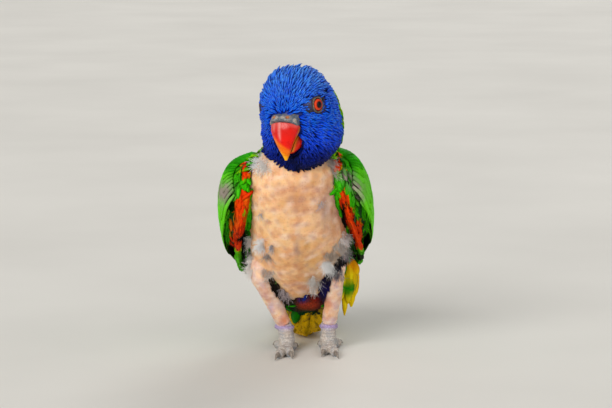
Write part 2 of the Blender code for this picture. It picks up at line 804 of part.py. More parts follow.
# The tail, laid back along the floor. Pairs of feathers from the middle outwards.
TAIL_ROOT_Y = 0.0480
TAIL_PAIRS = 6
TAIL_SHORTENING = 0.0105
TAIL_FEATHER_WIDTH = 0.0125
TAIL_SPREAD = math.radians(1.1)
TAIL_ROOT_LEVEL = 0.0150  # level of the lowest feathers' roots
TAIL_REST = 0.0002  # level of a feather's middle plane where it lies pressed on the floor
TAIL_LAYER = 0.00022  # how much higher each feather lies than the one under it
TAIL_DROP = 0.064  # distance behind the roots over which the tail comes down to the floor
TAIL_STATION = 0.0125  # the feathers are all bent at the same places, this far apart
TAIL_X = 0.0030
TAIL_CORNERS = 18
TAIL_CORE_ROWS = (
    # y, z, half width, reach above the line and below it, each across the line
    (0.0215, 0.0235, 0.0100, 0.0180, 0.0100),
    (0.0285, 0.0175, 0.0110, 0.0200, 0.0110),
    (0.0370, 0.0132, 0.0108, 0.0190, 0.0098),
    (0.0480, 0.0104, 0.0096, 0.0130, 0.0086),
    (0.0610, 0.0082, 0.0074, 0.0072, 0.0066),
    (0.0760, 0.0062, 0.0046, 0.0036, 0.0044),
)


def tail_vane(layer):
    """One tail feather. Layer 0 is on top, and even layers lie to the left of the middle."""
    pair, side = layer // 2, 1 if layer % 2 == 0 else -1
    length = TAIL_LENGTH - TAIL_SHORTENING * pair
    stations = [s for s in np.arange(0, length - TAIL_STATION / 3, TAIL_STATION)] + [length]
    widths = vane_widths(TAIL_FEATHER_WIDTH * (1 - 0.03 * pair), 25, root=0.4, tip=0.12, tip_share=0.5)
    path, breadths = [], []
    for behind in stations:
        out = side * ((behind + 0.016) * math.tan(TAIL_SPREAD * (pair + 0.35)) + 0.0006 * pair)
        packed = 1 - 0.8 * behind / TAIL_LENGTH
        rest = TAIL_REST + TAIL_LAYER * (2 * TAIL_PAIRS - 1 - layer) * packed
        fall = (1 - min(1.0, behind / TAIL_DROP)) ** 1.3
        level = rest + (TAIL_ROOT_LEVEL - TAIL_REST) * fall
        path.append((TAIL_X + out, TAIL_ROOT_Y + behind, level))
        breadths.append(np.interp(behind / length, np.linspace(0, 1, 25), widths))
    ups = [np.array((0, 0, 1.0))] * len(path)
    return vane("rectrix", path, ups, breadths, 0.0006, crown=0.0)


# Rows of coverts over and under the tail: share of the core's length at the roots and at
# the tips, how many, and width
UPPER_COVERTS = ((0.38, 0.72, 4, 0.0104), (0.58, 0.96, 3, 0.0098))
UNDER_COVERTS = ((0.22, 0.60, 4, 0.0100), (0.46, 0.90, 3, 0.0094))


def tail_core_rings(count):
    rows = smooth_rows(TAIL_CORE_ROWS, count)
    line = np.column_stack([np.full(len(rows), TAIL_X), rows[:, 0], rows[:, 1]])
    along = np.gradient(line, axis=0)
    side = np.array((1.0, 0, 0))
    found = []
    for centre, tangent, row in zip(line, along, rows):
        up = unit(np.cross(side, unit(tangent)))
        found.append((centre, side, up if up[2] > 0 else -up, row[2], row[3], row[4]))
    return found


def tail_covert(above, row, index):
    """A covert feather over the root of the tail, above it or below it."""
    start, end, count, width = row
    middle = (count - 1) / 2
    angle = (index - middle) / middle * 1.05
    frames = tail_core_rings(41)
    path, ups = [], []
    for t in np.linspace(0, 1, 5):
        centre, side, up, half, high, low = frames[int(40 * (start + (end - start) * t))]
        depth, sense = (high, 1.0) if above else (low, -1.0)
        out = side * math.sin(angle) + up * sense * math.cos(angle)
        on_core = centre + side * half * math.sin(angle) + up * sense * depth * math.cos(angle)
        lift = -0.0016 + 0.0026 * min(1.0, t / 0.4) + 0.0007 * (index % 2)
        point = on_core + out * lift
        point[2] = max(point[2], 0.0013)
        path.append(point)
        ups.append(out)
    return vane("covert", path, ups, vane_widths(width, 5, tip=0.25), 0.0006, crown=0.06)


def tail_root(torso):
    """The tail's fleshy root with the coverts above and below it."""
    rings = [oval(*frame, TAIL_CORNERS) for frame in tail_core_rings(10)]
    for ring in rings:
        ring[:, 2] = np.maximum(ring[:, 2], SOLE - FLOOR_SINK)
    root = loft("tail_coverts", rings)
    pieces = []
    for above, rows in ((True, UPPER_COVERTS), (False, UNDER_COVERTS)):
        for row in rows:
            pieces += [tail_covert(above, row, i) for i in range(row[2])]
    simplify(fuse(root, pieces))
    flatten_on_floor(root)
    return trim(root, torso)


def tail(neighbours):
    """The long feathers, which lie over one another and start behind the coverts."""
    vanes = [tail_vane(layer) for layer in range(2 * TAIL_PAIRS)]
    feathers = vanes[0]
    feathers.name = "tail"
    simplify(fuse(feathers, vanes[1:]))
    flatten_on_floor(feathers)
    for neighbour in neighbours:
        trim(feathers, neighbour)
    return feathers


# The feathers left on the left flank: (x, y, z) of each root and tip, outer ones last
FLANK_FEATHERS = (
    ((0.0180, 0.0160, 0.0430), (0.0190, 0.0185, 0.0160)),
    ((0.0200, 0.0165, 0.0435), (0.0225, 0.0190, 0.0145)),
    ((0.0222, 0.0170, 0.0435), (0.0252, 0.0195, 0.0200)),
    ((0.0240, 0.0175, 0.0430), (0.0272, 0.0200, 0.0265)),
    ((0.0190, 0.0130, 0.0440), (0.0192, 0.0150, 0.0235)),
    ((0.0215, 0.0135, 0.0445), (0.0225, 0.0155, 0.0215)),
    ((0.0238, 0.0145, 0.0440), (0.0258, 0.0165, 0.0280)),
)
FLANK_WIDTH = 0.0062
FLANK_PAD = ((0.0165, 0.0145, 0.0420), (0.0215, 0.0165, 0.0425), (0.0245, 0.0180, 0.0420))


def flank_feathers(neighbours):
    """A pad on the flank with long feathers that hang outside the left leg."""
    path = smooth_rows(FLANK_PAD, 6)
    pad = loft("flank_feathers_left", tube_rings(path, (0.0036, 0.004, 0.0042, 0.004, 0.0034, 0.0024), 10))
    pieces = []
    for root, tip in FLANK_FEATHERS:
        root, tip = np.array(root), np.array(tip)
        points, ups = [], []
        for t in np.linspace(0, 1, 5):
            bow = np.array((0.0012, -0.0016, 0)) * math.sin(math.pi * t)
            points.append(root + (tip - root) * t + bow)
            ups.append(np.array((0.35, -0.93, 0.05)))
        widths = vane_widths(FLANK_WIDTH, 5, root=0.6, tip=0.25, tip_share=0.45)
        pieces.append(vane("flank", points, ups, widths, 0.0006))
    simplify(fuse(pad, pieces))
    for neighbour in neighbours:
        trim(pad, neighbour)
    return pad


def centre_on_floor(nodes):
    """Moves every node so that the middle of the model's box is over the origin."""
    corners = np.array([tuple(v.co) for obj in nodes for v in obj.data.vertices])
    low, high = corners.min(axis=0), corners.max(axis=0)
    shift = Vector((-(low[0] + high[0]) / 2, -(low[1] + high[1]) / 2, -low[2]))
    for obj in nodes:
        obj.data.transform(Matrix.Translation(shift))
        obj.data.update()


def trunk_nodes():
    """The trunk for trimming by, the whole head, the neck up to it, and the torso."""
    trunk, head = trunk_body(), head_body()
    half = GAP / 2
    neck = copy_of(trunk, "neck")
    keep_side(neck, COLLAR_CUT[0] + COLLAR_CUT[1] * half, COLLAR_CUT[1])
    trim(neck, head)
    torso = copy_of(trunk, "torso")
    keep_side(torso, COLLAR_CUT[0] - COLLAR_CUT[1] * half, -COLLAR_CUT[1])
    trim(torso, head)
    return trunk, head, neck, torso


def bill_nodes():
    cere = placed_on_face(loft("cere", bill_rings(CERE_ROWS, 6)))
    upper = placed_on_face(loft("bill_upper", bill_rings(UPPER_BILL_ROWS, 13)))
    lower = placed_on_face(loft("bill_lower", bill_rings(LOWER_BILL_ROWS, 9)))
    return cere, upper, lower


def build():
    clear_scene()
    trunk, head, neck, torso = trunk_nodes()
    bowl = Vector((0, -BILL_BOWL[0], BILL_BOWL[1]))
    carve(head, face_ball("bowl", bowl, BILL_BOWL_RADIUS, (20, 12)))
    for side in WING_SIDES:
        carve(head, eye_socket(side))
    fuse(head, [lid_ring("left"), lid_ring("right")])
    eyes = [eyeball("left"), eyeball("right")]
    for eye in eyes:
        trim(head, eye)
    cere, upper, lower = bill_nodes()
    trim(lower, upper)
    trim(lower, cere)
    trim(upper, cere)
    for piece in (cere, upper, lower):
        trim(head, piece)
    for piece in (upper, lower, cere):
        simplify(piece, 2.0)
    for side in WING_SIDES:
        carve(cere, nostril_cutter(side))

    blue, green = material("blue_plumage", BLUE), material("green_plumage", GREEN)
    skin, scales = material("bare_skin", SKIN), material("foot_scales", SCALE_GREY)
    horn, claw_horn = material("red_bill", BILL_RED, 0.3), material("claw", CLAW_GREY, 0.4)
    nodes = [finish(head, blue), finish(neck, skin)]
    nodes.append(finish(cere, material("cere_skin", CERE_GREY)))
    nodes += [finish(upper, horn), finish(lower, horn)]
    nodes += [finish(eye, material("eye", EYE_BLACK, 0.1)) for eye in eyes]

    shins = {}
    for side in WING_SIDES:
        shins[side] = trim(shin(side), torso)
        foot = tarsus(side)
        foot.name = "foot_" + side
        fuse(foot, [toe_piece(side, toe) for toe in TOES])
        trim(flatten_on_floor(simplify(foot)), shins[side])
        nodes += [finish(shins[side], skin), finish(foot, scales)]
        for toe in TOES:
            nodes.append(finish(trim(claw_piece(side, toe), foot), claw_horn))
    wings = [wing(side, [trunk, head]) for side in WING_SIDES]
    bpy.data.objects.remove(trunk, do_unlink=True)
    flank = flank_feathers([torso, shins["left"], wings[0]])
    nodes.append(finish(flank, material("flank_plumage", YELLOW)))
    nodes += [finish(piece, green) for piece in wings]
    coverts = tail_root(torso)
    nodes.append(finish(tail([torso, coverts]), material("tail_plumage", GREEN)))
    nodes.append(finish(coverts, material("covert_plumage", OLIVE)))
    nodes.append(finish(torso, skin))
    centre_on_floor(nodes)


build()
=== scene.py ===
"""Looks of a rainbow lorikeet at life size, with a bare breast, belly and legs.

The bird faces -Y, its left side is +X and +Z is up. Sizes are in metres unless a name says
mm. Each piece is shaped about the CAD source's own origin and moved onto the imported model
by HOME at the end.
"""

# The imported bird. It is one still body. Its eyeballs show how far the pack moved it to
# centre it over the floor, and that shift is HOME.
import json
import math

import bmesh
import bpy
import numpy as np
from mathutils import Matrix, Vector
from mathutils.bvhtree import BVHTree

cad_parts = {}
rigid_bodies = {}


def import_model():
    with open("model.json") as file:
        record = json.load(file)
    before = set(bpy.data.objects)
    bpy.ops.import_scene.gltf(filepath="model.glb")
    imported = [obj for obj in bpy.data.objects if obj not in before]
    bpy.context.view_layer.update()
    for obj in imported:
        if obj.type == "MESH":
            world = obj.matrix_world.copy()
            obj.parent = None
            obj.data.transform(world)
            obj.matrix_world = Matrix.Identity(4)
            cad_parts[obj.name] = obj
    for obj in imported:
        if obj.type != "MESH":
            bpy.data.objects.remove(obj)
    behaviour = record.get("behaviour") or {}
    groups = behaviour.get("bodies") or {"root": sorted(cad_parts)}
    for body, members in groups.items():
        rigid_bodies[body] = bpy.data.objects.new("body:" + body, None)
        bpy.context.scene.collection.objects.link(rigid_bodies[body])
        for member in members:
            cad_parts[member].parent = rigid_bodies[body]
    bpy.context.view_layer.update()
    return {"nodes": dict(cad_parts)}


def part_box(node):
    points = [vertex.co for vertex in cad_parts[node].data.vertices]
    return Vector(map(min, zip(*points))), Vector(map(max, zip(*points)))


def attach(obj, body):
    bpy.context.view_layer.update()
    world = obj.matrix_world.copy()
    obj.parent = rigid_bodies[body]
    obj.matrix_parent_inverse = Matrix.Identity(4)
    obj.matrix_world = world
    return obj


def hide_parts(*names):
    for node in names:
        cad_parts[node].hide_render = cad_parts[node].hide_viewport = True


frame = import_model()
HEAD_CENTRE = Vector((-0.0008, -0.0280, 0.1172))
HEAD_YAW = math.radians(29.0)
HEAD_ROLL = math.radians(4.0)
FACE = (
    Matrix.Translation(HEAD_CENTRE)
    @ Matrix.Rotation(-HEAD_ROLL, 4, "Y")
    @ Matrix.Rotation(-HEAD_YAW, 4, "Z")
)
EYE_PLACE = Vector((0.0116, -0.0060, 0.0080))
eye_boxes = [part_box("eye_left"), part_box("eye_right")]
eyes_middle = sum((low + high for low, high in eye_boxes), Vector()) / 4
HOME = eyes_middle - FACE @ Vector((0, EYE_PLACE.y, EYE_PLACE.z))


# The floor, the light and the camera. The floor is plain pale board. The light is a soft
# key from the front, a weaker one from the other side and one behind for the outline.
AIM = Vector((0.0029, 0.0, 0.0734))
DISTANCE = 1.1
CAMERA_FALL = math.radians(9.0)
SIGHT = Vector((0, math.cos(CAMERA_FALL), -math.sin(CAMERA_FALL)))
SIGHT_UP = Vector((0, math.sin(CAMERA_FALL), math.cos(CAMERA_FALL)))


def hex_colour(text):
    """An sRGB hex colour as linear red, green, blue and alpha."""
    parts = [int(text[i : i + 2], 16) / 255 for i in (1, 3, 5)]
    return [c / 12.92 if c <= 0.04045 else ((c + 0.055) / 1.055) ** 2.4 for c in parts] + [1.0]


def add_node(tree, kind, settings=None, stops=(), **links):
    """Adds a node. A link is another node, for its first output in use, or one of its
    sockets, or a value for this node's socket. That is named by its words with _ for
    spaces, or by in_ and its number. stops are a ramp's places and colours."""
    made = tree.nodes.new("ShaderNode" + kind)
    for key, value in (settings or {}).items():
        setattr(made, key, value)
    for i, (place, colour) in enumerate(stops):
        steps = made.color_ramp.elements
        step = steps[i] if i < 2 else steps.new(place)
        step.position, step.color = place, hex_colour(colour)
    for key, value in links.items():
        name = int(key[3:]) if key.startswith("in_") else key.replace("_", " ")
        if isinstance(value, bpy.types.Node):
            value = next(socket for socket in value.outputs if socket.enabled)
        if isinstance(value, bpy.types.NodeSocket):
            tree.links.new(value, made.inputs[name])
        else:
            made.inputs[name].default_value = value
    return made


def new_material(name):
    """A material with no shader yet, its tree, and the Object coordinates in it."""
    made = bpy.data.materials.new(name)
    made.use_nodes = True
    made.node_tree.nodes.clear()
    return made, made.node_tree, add_node(made.node_tree, "TexCoord").outputs["Object"]


def close_material(tree, **sockets):
    """Ends a material with its shader, whose sockets are set or linked."""
    shader = add_node(tree, "BsdfPrincipled", **sockets)
    add_node(tree, "OutputMaterial", Surface=shader)


scene = bpy.context.scene
scene.view_settings.view_transform = "Standard"
floor_mesh = bmesh.new()
bmesh.ops.create_grid(floor_mesh, x_segments=1, y_segments=1, size=6.0)
floor_data = bpy.data.meshes.new("floor")
floor_mesh.to_mesh(floor_data)
floor_mesh.free()
floor = bpy.data.objects.new("floor", floor_data)
scene.collection.objects.link(floor)

# Painted board, rolled on: a flat pale finish with the faint orange peel of a roller
board, tree, spot = new_material("painted_board")
cloud = add_node(tree, "TexNoise", Vector=spot, Scale=6.0, Detail=3.0)
pale = add_node(tree, "ValToRGB", stops=((0.3, "#dedbd4"), (0.7, "#e6e3dc")), Fac=cloud)
peel = add_node(tree, "TexNoise", Vector=spot, Scale=900.0, Detail=2.0)
bump = add_node(tree, "Bump", Strength=0.05, Distance=0.0002, Height=peel)
close_material(tree, Base_Color=pale, Roughness=0.75, Normal=bump)
floor_data.materials.append(board)

world = bpy.data.worlds.new("studio")
world.use_nodes = True
world.node_tree.nodes["Background"].inputs["Color"].default_value = hex_colour("#f2f1ee")
world.node_tree.nodes["Background"].inputs["Strength"].default_value = 0.42
scene.world = world
for name, place, softness, strength in (
    ("key", (-0.62, -1.00, 0.66), 34.0, 1.95),
    ("fill", (0.95, -0.85, 0.40), 60.0, 0.55),
    ("rim", (0.45, 0.95, 0.80), 30.0, 0.7),
):
    light = bpy.data.objects.new(name, bpy.data.lights.new(name, "SUN"))
    light.data.angle, light.data.energy = math.radians(softness), strength
    light.location = Vector(place)
    light.rotation_euler = (-Vector(place)).to_track_quat("-Z", "Y").to_euler()
    scene.collection.objects.link(light)

camera = bpy.data.objects.new("camera", bpy.data.cameras.new("camera"))
camera.data.lens, camera.data.sensor_width = 134.8, 36.0
camera.data.clip_start, camera.data.clip_end = 0.05, 20.0
camera.location = HOME + AIM - SIGHT * DISTANCE
camera.rotation_euler = SIGHT.to_track_quat("-Z", "Y").to_euler()
scene.collection.objects.link(camera)
scene.camera = camera


# The skin. One body of skin runs under the feathers of the head, neck, torso, shoulders,
# shins and tail root. It is bare and thin on the breast, belly and shins, with the pits and
# bumps that the lost feathers left. It takes the CAD solids' shape, sunk by the coat's depth.
SKIN_VOXEL = 0.0008
SKIN_SWELL = 0.0003  # closes the fine gaps between the solids before they are made one
VANE_SWELL = 0.0012  # the same for the gaps under the wings' and the tail root's vanes
MERGE_GAP = 1e-6
HEAD_COAT = 0.0027
MANTLE_COAT = 0.0019
WING_COAT = 0.0030  # deep, for the vanes lie in tiers
LINING_COAT = 0.0010
TAIL_COAT = 0.0018
WING_SKIN_END = 0.030
TAIL_SKIN_END = 0.073
# The nodes that the skin runs through, and how far back the flesh of each one reaches.
# Feathers alone carry on from there
FLESH_ENDS = {
    "head": None,
    "neck": None,
    "torso": None,
    "shin_left": None,
    "shin_right": None,
    "wing_left": WING_SKIN_END,
    "wing_right": WING_SKIN_END,
    "tail_coverts": TAIL_SKIN_END,
    "cere": None,
}


def smoothstep(low, high, value):
    """0 at low, 1 at high, and an even rise between them."""
    share = np.clip((np.asarray(value, float) - low) / (high - low), 0, 1)
    return share * share * (3 - 2 * share)


def ink(text):
    """A hex colour as linear red, green and blue."""
    return np.array(hex_colour(text)[:3])


def all_over(points, colour):
    """One colour, or its hex, for every point."""
    return np.tile(ink(colour) if isinstance(colour, str) else colour, (len(points), 1))


def mixed(colours, other, share):
    """Rows of colour mixed towards another colour, or its hex, by a share for each row."""
    other = ink(other) if isinstance(other, str) else np.asarray(other, float)
    share = np.asarray(share, float)[..., None]
    return colours * (1 - share) + other * share


def layered(colours, *layers):
    """Colours with layers laid over them in turn. Each layer is a colour and its share."""
    for colour, share in layers:
        colours = mixed(colours, colour, share)
    return colours


def to_face(points):
    """Points in the head's own frame: left, back and up from its centre."""
    turn = np.array(FACE.inverted())
    return points @ turn[:3, :3].T + turn[:3, 3]


def front_view(points):
    """Where points stand in the front view: mm to its right, and mm up, from its middle."""
    off = points - np.array(AIM)
    depth = DISTANCE + off @ np.array(SIGHT)
    across = 1000 * DISTANCE * off[:, 0] / depth
    return across, 1000 * DISTANCE * (off @ np.array(SIGHT_UP)) / depth


def facing_front(normals):
    """1 for what faces the front view squarely, down to -1 for what faces away."""
    return normals @ -np.array(SIGHT)


def blot(points, across, height, wide, tall):
    """1 at a spot of the front view, falling off round it. It runs right through the bird."""
    seen_across, seen_height = front_view(points)
    return np.exp(-(((seen_across - across) / wide) ** 2) - ((seen_height - height) / tall) ** 2)


def soft_noise(points, size, seed):
    """Smooth random numbers from -1 to 1, which change over the given size."""
    rng = np.random.default_rng(seed)
    total = np.zeros(len(points))
    for _ in range(7):
        way = rng.normal(size=3)
        way *= rng.uniform(0.6, 1.5) * 2 * math.pi / size / np.linalg.norm(way)
        total += np.sin(points @ way + rng.uniform(0, 2 * math.pi))
    return np.clip(total / 3.2, -1, 1)


def peak(value, middle, width):
    """1 where a value is at the middle of a band, falling off to both sides."""
    return np.exp(-(((value - middle) / width) ** 2))


def patches(points, size, seed, start=0.0):
    """Soft patches, where the noise rises over a start, and 0 between them."""
    return np.clip(soft_noise(points, size, seed) - start, 0, 1)


def copy_of_node(name):
    """A copy of a CAD node about the source's origin, with its loose triangles merged."""
    part = bmesh.new()
    part.from_mesh(frame["nodes"][name].data)
    bmesh.ops.remove_doubles(part, verts=part.verts, dist=MERGE_GAP)
    bmesh.ops.translate(part, vec=-HOME, verts=part.verts)
    return part


def add_part(whole, part):
    """Adds one bmesh to another and ends it."""
    holder = bpy.data.meshes.new("holder")
    part.to_mesh(holder)
    whole.from_mesh(holder)
    part.free()


def new_object(name, shaped):
    """An object from a bmesh, which it ends."""
    mesh = bpy.data.meshes.new(name)
    shaped.to_mesh(mesh)
    shaped.free()
    obj = bpy.data.objects.new(name, mesh)
    scene.collection.objects.link(obj)
    return obj


def make_even(obj, voxel):
    """Remakes a piece as one closed surface of small even faces."""
    remesh = obj.modifiers.new("one_surface", "REMESH")
    remesh.mode, remesh.voxel_size = "VOXEL", voxel
    bpy.context.view_layer.update()
    graph = bpy.context.evaluated_depsgraph_get()
    surface = bpy.data.meshes.new_from_object(obj.evaluated_get(graph))
    obj.modifiers.clear()
    obj.data = surface


flesh, owners = bmesh.new(), []
for index, (name, end) in enumerate(FLESH_ENDS.items()):
    part = copy_of_node(name)
    if end is not None:
        bmesh.ops.bisect_plane(
            part,
            geom=part.verts[:] + part.edges[:] + part.faces[:],
            dist=1e-7,
            plane_co=(0, end, 0),
            plane_no=(0, 1, 0),
            clear_outer=True,
        )
        bmesh.ops.holes_fill(part, edges=[e for e in part.edges if e.is_boundary], sides=0)
    bmesh.ops.recalc_face_normals(part, faces=part.faces)
    part.normal_update()
    for vert in part.verts:
        vert.co += vert.normal * (VANE_SWELL if end else SKIN_SWELL)
    bmesh.ops.triangulate(part, faces=part.faces)
    owners += [index] * len(part.faces)
    add_part(flesh, part)
flesh.faces.ensure_lookup_table()
flesh_tree = BVHTree.FromBMesh(flesh)
skin = new_object("skin", flesh)
make_even(skin, SKIN_VOXEL)
skin_data = skin.data


def rows_of(items, key, width, kind=np.float32):
    """A number or vector of each item of a mesh, as the rows of an array."""
    rows = np.empty((len(items), width), kind)
    items.foreach_get(key, rows.ravel())
    return rows


def numbers_of(mesh):
    """The mesh's points, their normals and its edges, as arrays."""
    points, normals = (rows_of(mesh.vertices, key, 3).astype(float) for key in ("co", "normal"))
    return points, normals, rows_of(mesh.edges, "vertices", 2, np.int32)


def move_to(mesh, points):
    mesh.vertices.foreach_set("co", points.astype(np.float32).ravel())
    mesh.update()


def spread(values, edges, rounds):
    """Evens values out between the ends of each edge, a number of times over."""
    values = np.array(values, float)
    count = np.bincount(edges.ravel(), minlength=len(values)).astype(float)
    shape = (-1,) + (1,) * (values.ndim - 1)
    for _ in range(rounds):
        total = np.zeros_like(values)
        np.add.at(total, edges[:, 0], values[edges[:, 1]])
        np.add.at(total, edges[:, 1], values[edges[:, 0]])
        values = 0.5 * values + 0.5 * total / np.maximum(count, 1).reshape(shape)
    return values


def of_nodes(owner, *names):
    """Which rows of a list of owners belong to one of the named nodes."""
    return np.isin(owner, [list(FLESH_ENDS).index(name) for name in names])


points, normals, edges = numbers_of(skin_data)
# The node that each point of the skin comes from
owner = np.array([owners[flesh_tree.find_nearest(Vector(p))[2]] for p in points])
owner[of_nodes(owner, "cere")] = list(FLESH_ENDS).index("head")
on_head = of_nodes(owner, "head").astype(float)
on_wing = of_nodes(owner, "wing_left", "wing_right").astype(float)
on_tail = of_nodes(owner, "tail_coverts").astype(float)
on_trunk = of_nodes(owner, "neck", "torso").astype(float)
on_shin = of_nodes(owner, "shin_left", "shin_right").astype(float)
EYE_AXIS = Vector((0.96, -0.26, 0.06)).normalized()
EYE_SURFACE = 0.0035  # from an eyeball's centre out to the middle of its lids
BILL_BASE = np.array((0.0, -0.0120, 0.0010))


def on_side(place, side):
    """A place or way of the head's left side, or for a side of -1 the same on its right."""
    return Vector((place.x * side, place.y, place.z))


def eye_distance(face_points):
    """How far points of the head lie from the nearer eye's place on its surface."""
    found = []
    for side in (1, -1):
        middle = np.array(on_side(EYE_PLACE, side))
        middle += np.array(on_side(EYE_AXIS, side)) * EYE_SURFACE
        found.append(np.linalg.norm(face_points - middle, axis=1))
    return np.minimum(*found)


face_points = to_face(points)
near_eye = 1 - smoothstep(0.0045, 0.0085, eye_distance(face_points))
near_bill = 1 - smoothstep(0.0080, 0.0140, np.linalg.norm(face_points - BILL_BASE, axis=1))
# The skin lies under the CAD solids by its coat's depth, less round the eyes and the bill
on_back = smoothstep(0.05, 0.45, normals[:, 1]) * on_trunk
outwards = normals[:, 0] * np.where(of_nodes(owner, "wing_right"), -1, 1)
depth = on_head * HEAD_COAT * (1 - 0.72 * near_eye) * (1 - 0.45 * near_bill)
depth += on_back * MANTLE_COAT + on_tail * TAIL_COAT
depth += on_wing * (LINING_COAT + (WING_COAT - LINING_COAT) * smoothstep(0.1, 0.6, outwards))
depth += np.clip(on_wing + on_tail, 0, 1) * (VANE_SWELL - SKIN_SWELL)
depth = spread(depth, edges, 5) + SKIN_SWELL
# The steps between vanes are smoothed away, and the rest is eased a little
even = spread(np.clip(on_wing + on_tail, 0, 1), edges, 4)
points = mixed(spread(points, edges, 3), spread(points, edges, 26), even)
# The right shoulder is lower, the left thigh slimmer, and the keel a shallow groove
points[:, 2] -= 0.0022 * blot(points, -28.0, 25.5, 6.0, 3.5)
points[:, 0] -= 0.0016 * blot(points, 19.5, -34.0, 4.0, 9.0) * on_shin
points -= normals * depth[:, None]
keel = blot(points, -4.5, -19, 2.2, 13) * (normals[:, 1] < 0)
points[:, 1] -= 0.0007 * keel * on_trunk
# Fine lumps on what is bare
bare = np.clip(on_trunk * (1 - on_back) + on_shin, 0, 1)
for swell, size, seed in ((0.00022, 0.0042, 5), (0.00012, 0.0018, 6)):
    points += normals * (swell * soft_noise(points, size, seed) * bare)[:, None]
move_to(skin_data, points)
skin_points, normals, edges = numbers_of(skin_data)
points = skin_points
# How flat the skin is round a point, and which way it looks with its lumps evened out
flatness = np.linalg.norm(spread(normals, edges, 12), axis=1)
soft_normals = spread(normals, edges, 8)
soft_normals /= np.linalg.norm(soft_normals, axis=1, keepdims=True)

COBALT = ink("#0c50f4")
PERIWINKLE = ink("#447aff")
NAVY = ink("#02105a")
# Near-black painted shade under the head and the chin
CHIN_SHADE = ink("#070b1e")
COLLAR = ink("#c4e010")
LEAF = ink("#1aa000")
LIME = ink("#54dc00")
BOTTLE = ink("#0a5c00")
PEACH = ink("#ffd2a0")
OLIVE = ink("#84700a")

# Where the bare skin differs: middle and radii in the front view in mm, colour and share
SKIN_BLOTS = (
    (-4.3, 1.5, 7.5, 6.5, "#c5875f", 0.85),
    (2.5, 11.0, 8.0, 4.5, "#d0935c", 0.6),
    (12.5, -4.0, 6.5, 13.0, "#b89488", 0.65),
    (9.0, 0.0, 2.4, 7.5, "#ab8c88", 0.6),
    (-4.6, -20.5, 1.7, 6.5, "#ab8c88", 0.75),
    (-4.6, -22.5, 1.3, 2.0, "#7c6462", 0.7),
    (0.5, -19.5, 2.2, 2.6, "#b07a2c", 0.7),
    (2.0, -27.5, 9.0, 6.0, "#cf9a52", 0.65),
    (-12.0, -25.0, 7.0, 6.0, "#e2a668", 0.5),
    (-16.5, -28.0, 3.0, 6.0, "#f4c096", 0.6),
    # The next pale spot is painted light, where the key light falls on the bird's right breast
    (-15.0, -12.0, 8.0, 8.0, "#fad09a", 0.6),
    (-14.5, 6.5, 2.6, 2.6, "#c8a090", 0.5),
    (0.8, 17.5, 5.0, 1.6, "#d98432", 0.7),
    (-4.0, 15.3, 1.6, 0.9, "#cf1a08", 0.95),
    (-20.0, 18.5, 5.0, 4.0, "#d8c8bc", 0.6),
    (10.0, 20.0, 4.0, 3.0, "#a8938a", 0.6),
    (-2.0, -37.0, 7.0, 3.2, "#c8904e", 0.5),
    (3.4, -36.5, 3.2, 4.5, "#94908c", 0.7),
    (-0.8, -41.5, 3.0, 2.0, "#c8826a", 0.7),
)
# The vent's dark band, from the left thigh round under the belly to the right one
VENT_BAND = (
    (-17.6, -36.5, 1.7, 2.2),
    (-15.2, -39.5, 1.8, 2.6),
    (-12.0, -43.5, 2.0, 2.8),
    (-8.5, -48.0, 2.2, 3.0),
    (-3.0, -47.8, 3.6, 3.0),
    (0.5, -50.0, 5.0, 3.4),
    (2.5, -46.2, 4.2, 3.4),
    (5.0, -48.0, 3.0, 4.2),
    (8.5, -44.5, 2.6, 4.0),
    (10.0, -38.5, 3.2, 3.8),
    (13.5, -33.5, 3.4, 3.6),
    (17.0, -28.5, 3.0, 3.6),
)
# The bare dark lores in front of the eyes, on the skin and where no feather grows
LORE_SPOTS = ((0.4, 44.6, 3.4, 1.5), (8.3, 53.5, 1.7, 2.2), (-21.5, 42.8, 1.2, 2.0))
LORE_GAPS = ((0.4, 44.6, 2.6, 1.0), (8.3, 53.5, 1.2, 1.7), (-21.5, 42.8, 1.0, 1.8))
CHIN_ACROSS = -3.8  # the lowest point of the head's feathers in the front view, mm
CHIN_HEIGHT = 16.8


def spots_share(points, spots):
    """How far points lie within one of some spots of the front view."""
    return np.max([blot(points, *spot) for spot in spots], axis=0)


def chin_share(points, normals):
    """1 above the arc in the front view where the head's small dark feathers end, 0 below."""
    across, height = front_view(points)
    off = across - CHIN_ACROSS
    arc = height - CHIN_HEIGHT - np.where(off < 0, 0.033, 0.025) * off**2
    return np.where(normals[:, 1] < 0.3, smoothstep(-0.2, 0.2, arc), 1.0)


def head_colours(points):
    """The head's blue: violet on the crown and far side, navy on the cheeks, and near-black below
    as painted shade under the head. Returns it with the collar laid over it, and the collar's
    share."""
    at = to_face(points)
    low = np.linalg.norm(at - np.array((0.0, -0.013, -0.0165)), axis=1)
    behind = at[:, 1] - 0.9 * np.clip(at[:, 2] - 0.012, 0, 0.02)
    start = 0.0104 - 0.0020 * smoothstep(-0.004, 0.006, at[:, 2])
    collar = smoothstep(-0.001, 0.001, behind - start + 0.0010 * soft_noise(points, 0.005, 12))
    colours = layered(
        all_over(points, COBALT),
        (PERIWINKLE, 0.55 * smoothstep(0.004, 0.024, at[:, 2])),
        ("#4a64f0", 0.55 * smoothstep(0.008, 0.020, -at[:, 0])),
        ("#0634b4", 0.8 * (1 - smoothstep(-0.006, 0.004, at[:, 2]))),
        (NAVY, 0.96 * (1 - smoothstep(-0.015, -0.003, at[:, 2]))),
        # painted shade: near-black under the head and round the throat below the bill
        (CHIN_SHADE, 0.95 * (1 - smoothstep(-0.0215, -0.0145, at[:, 2]))),
        (CHIN_SHADE, 0.75 * (1 - smoothstep(0.003, 0.009, low))),
        (NAVY, 0.35 * patches(points, 0.006, 11)),
        (COLLAR, collar),
    )
    return colours, collar


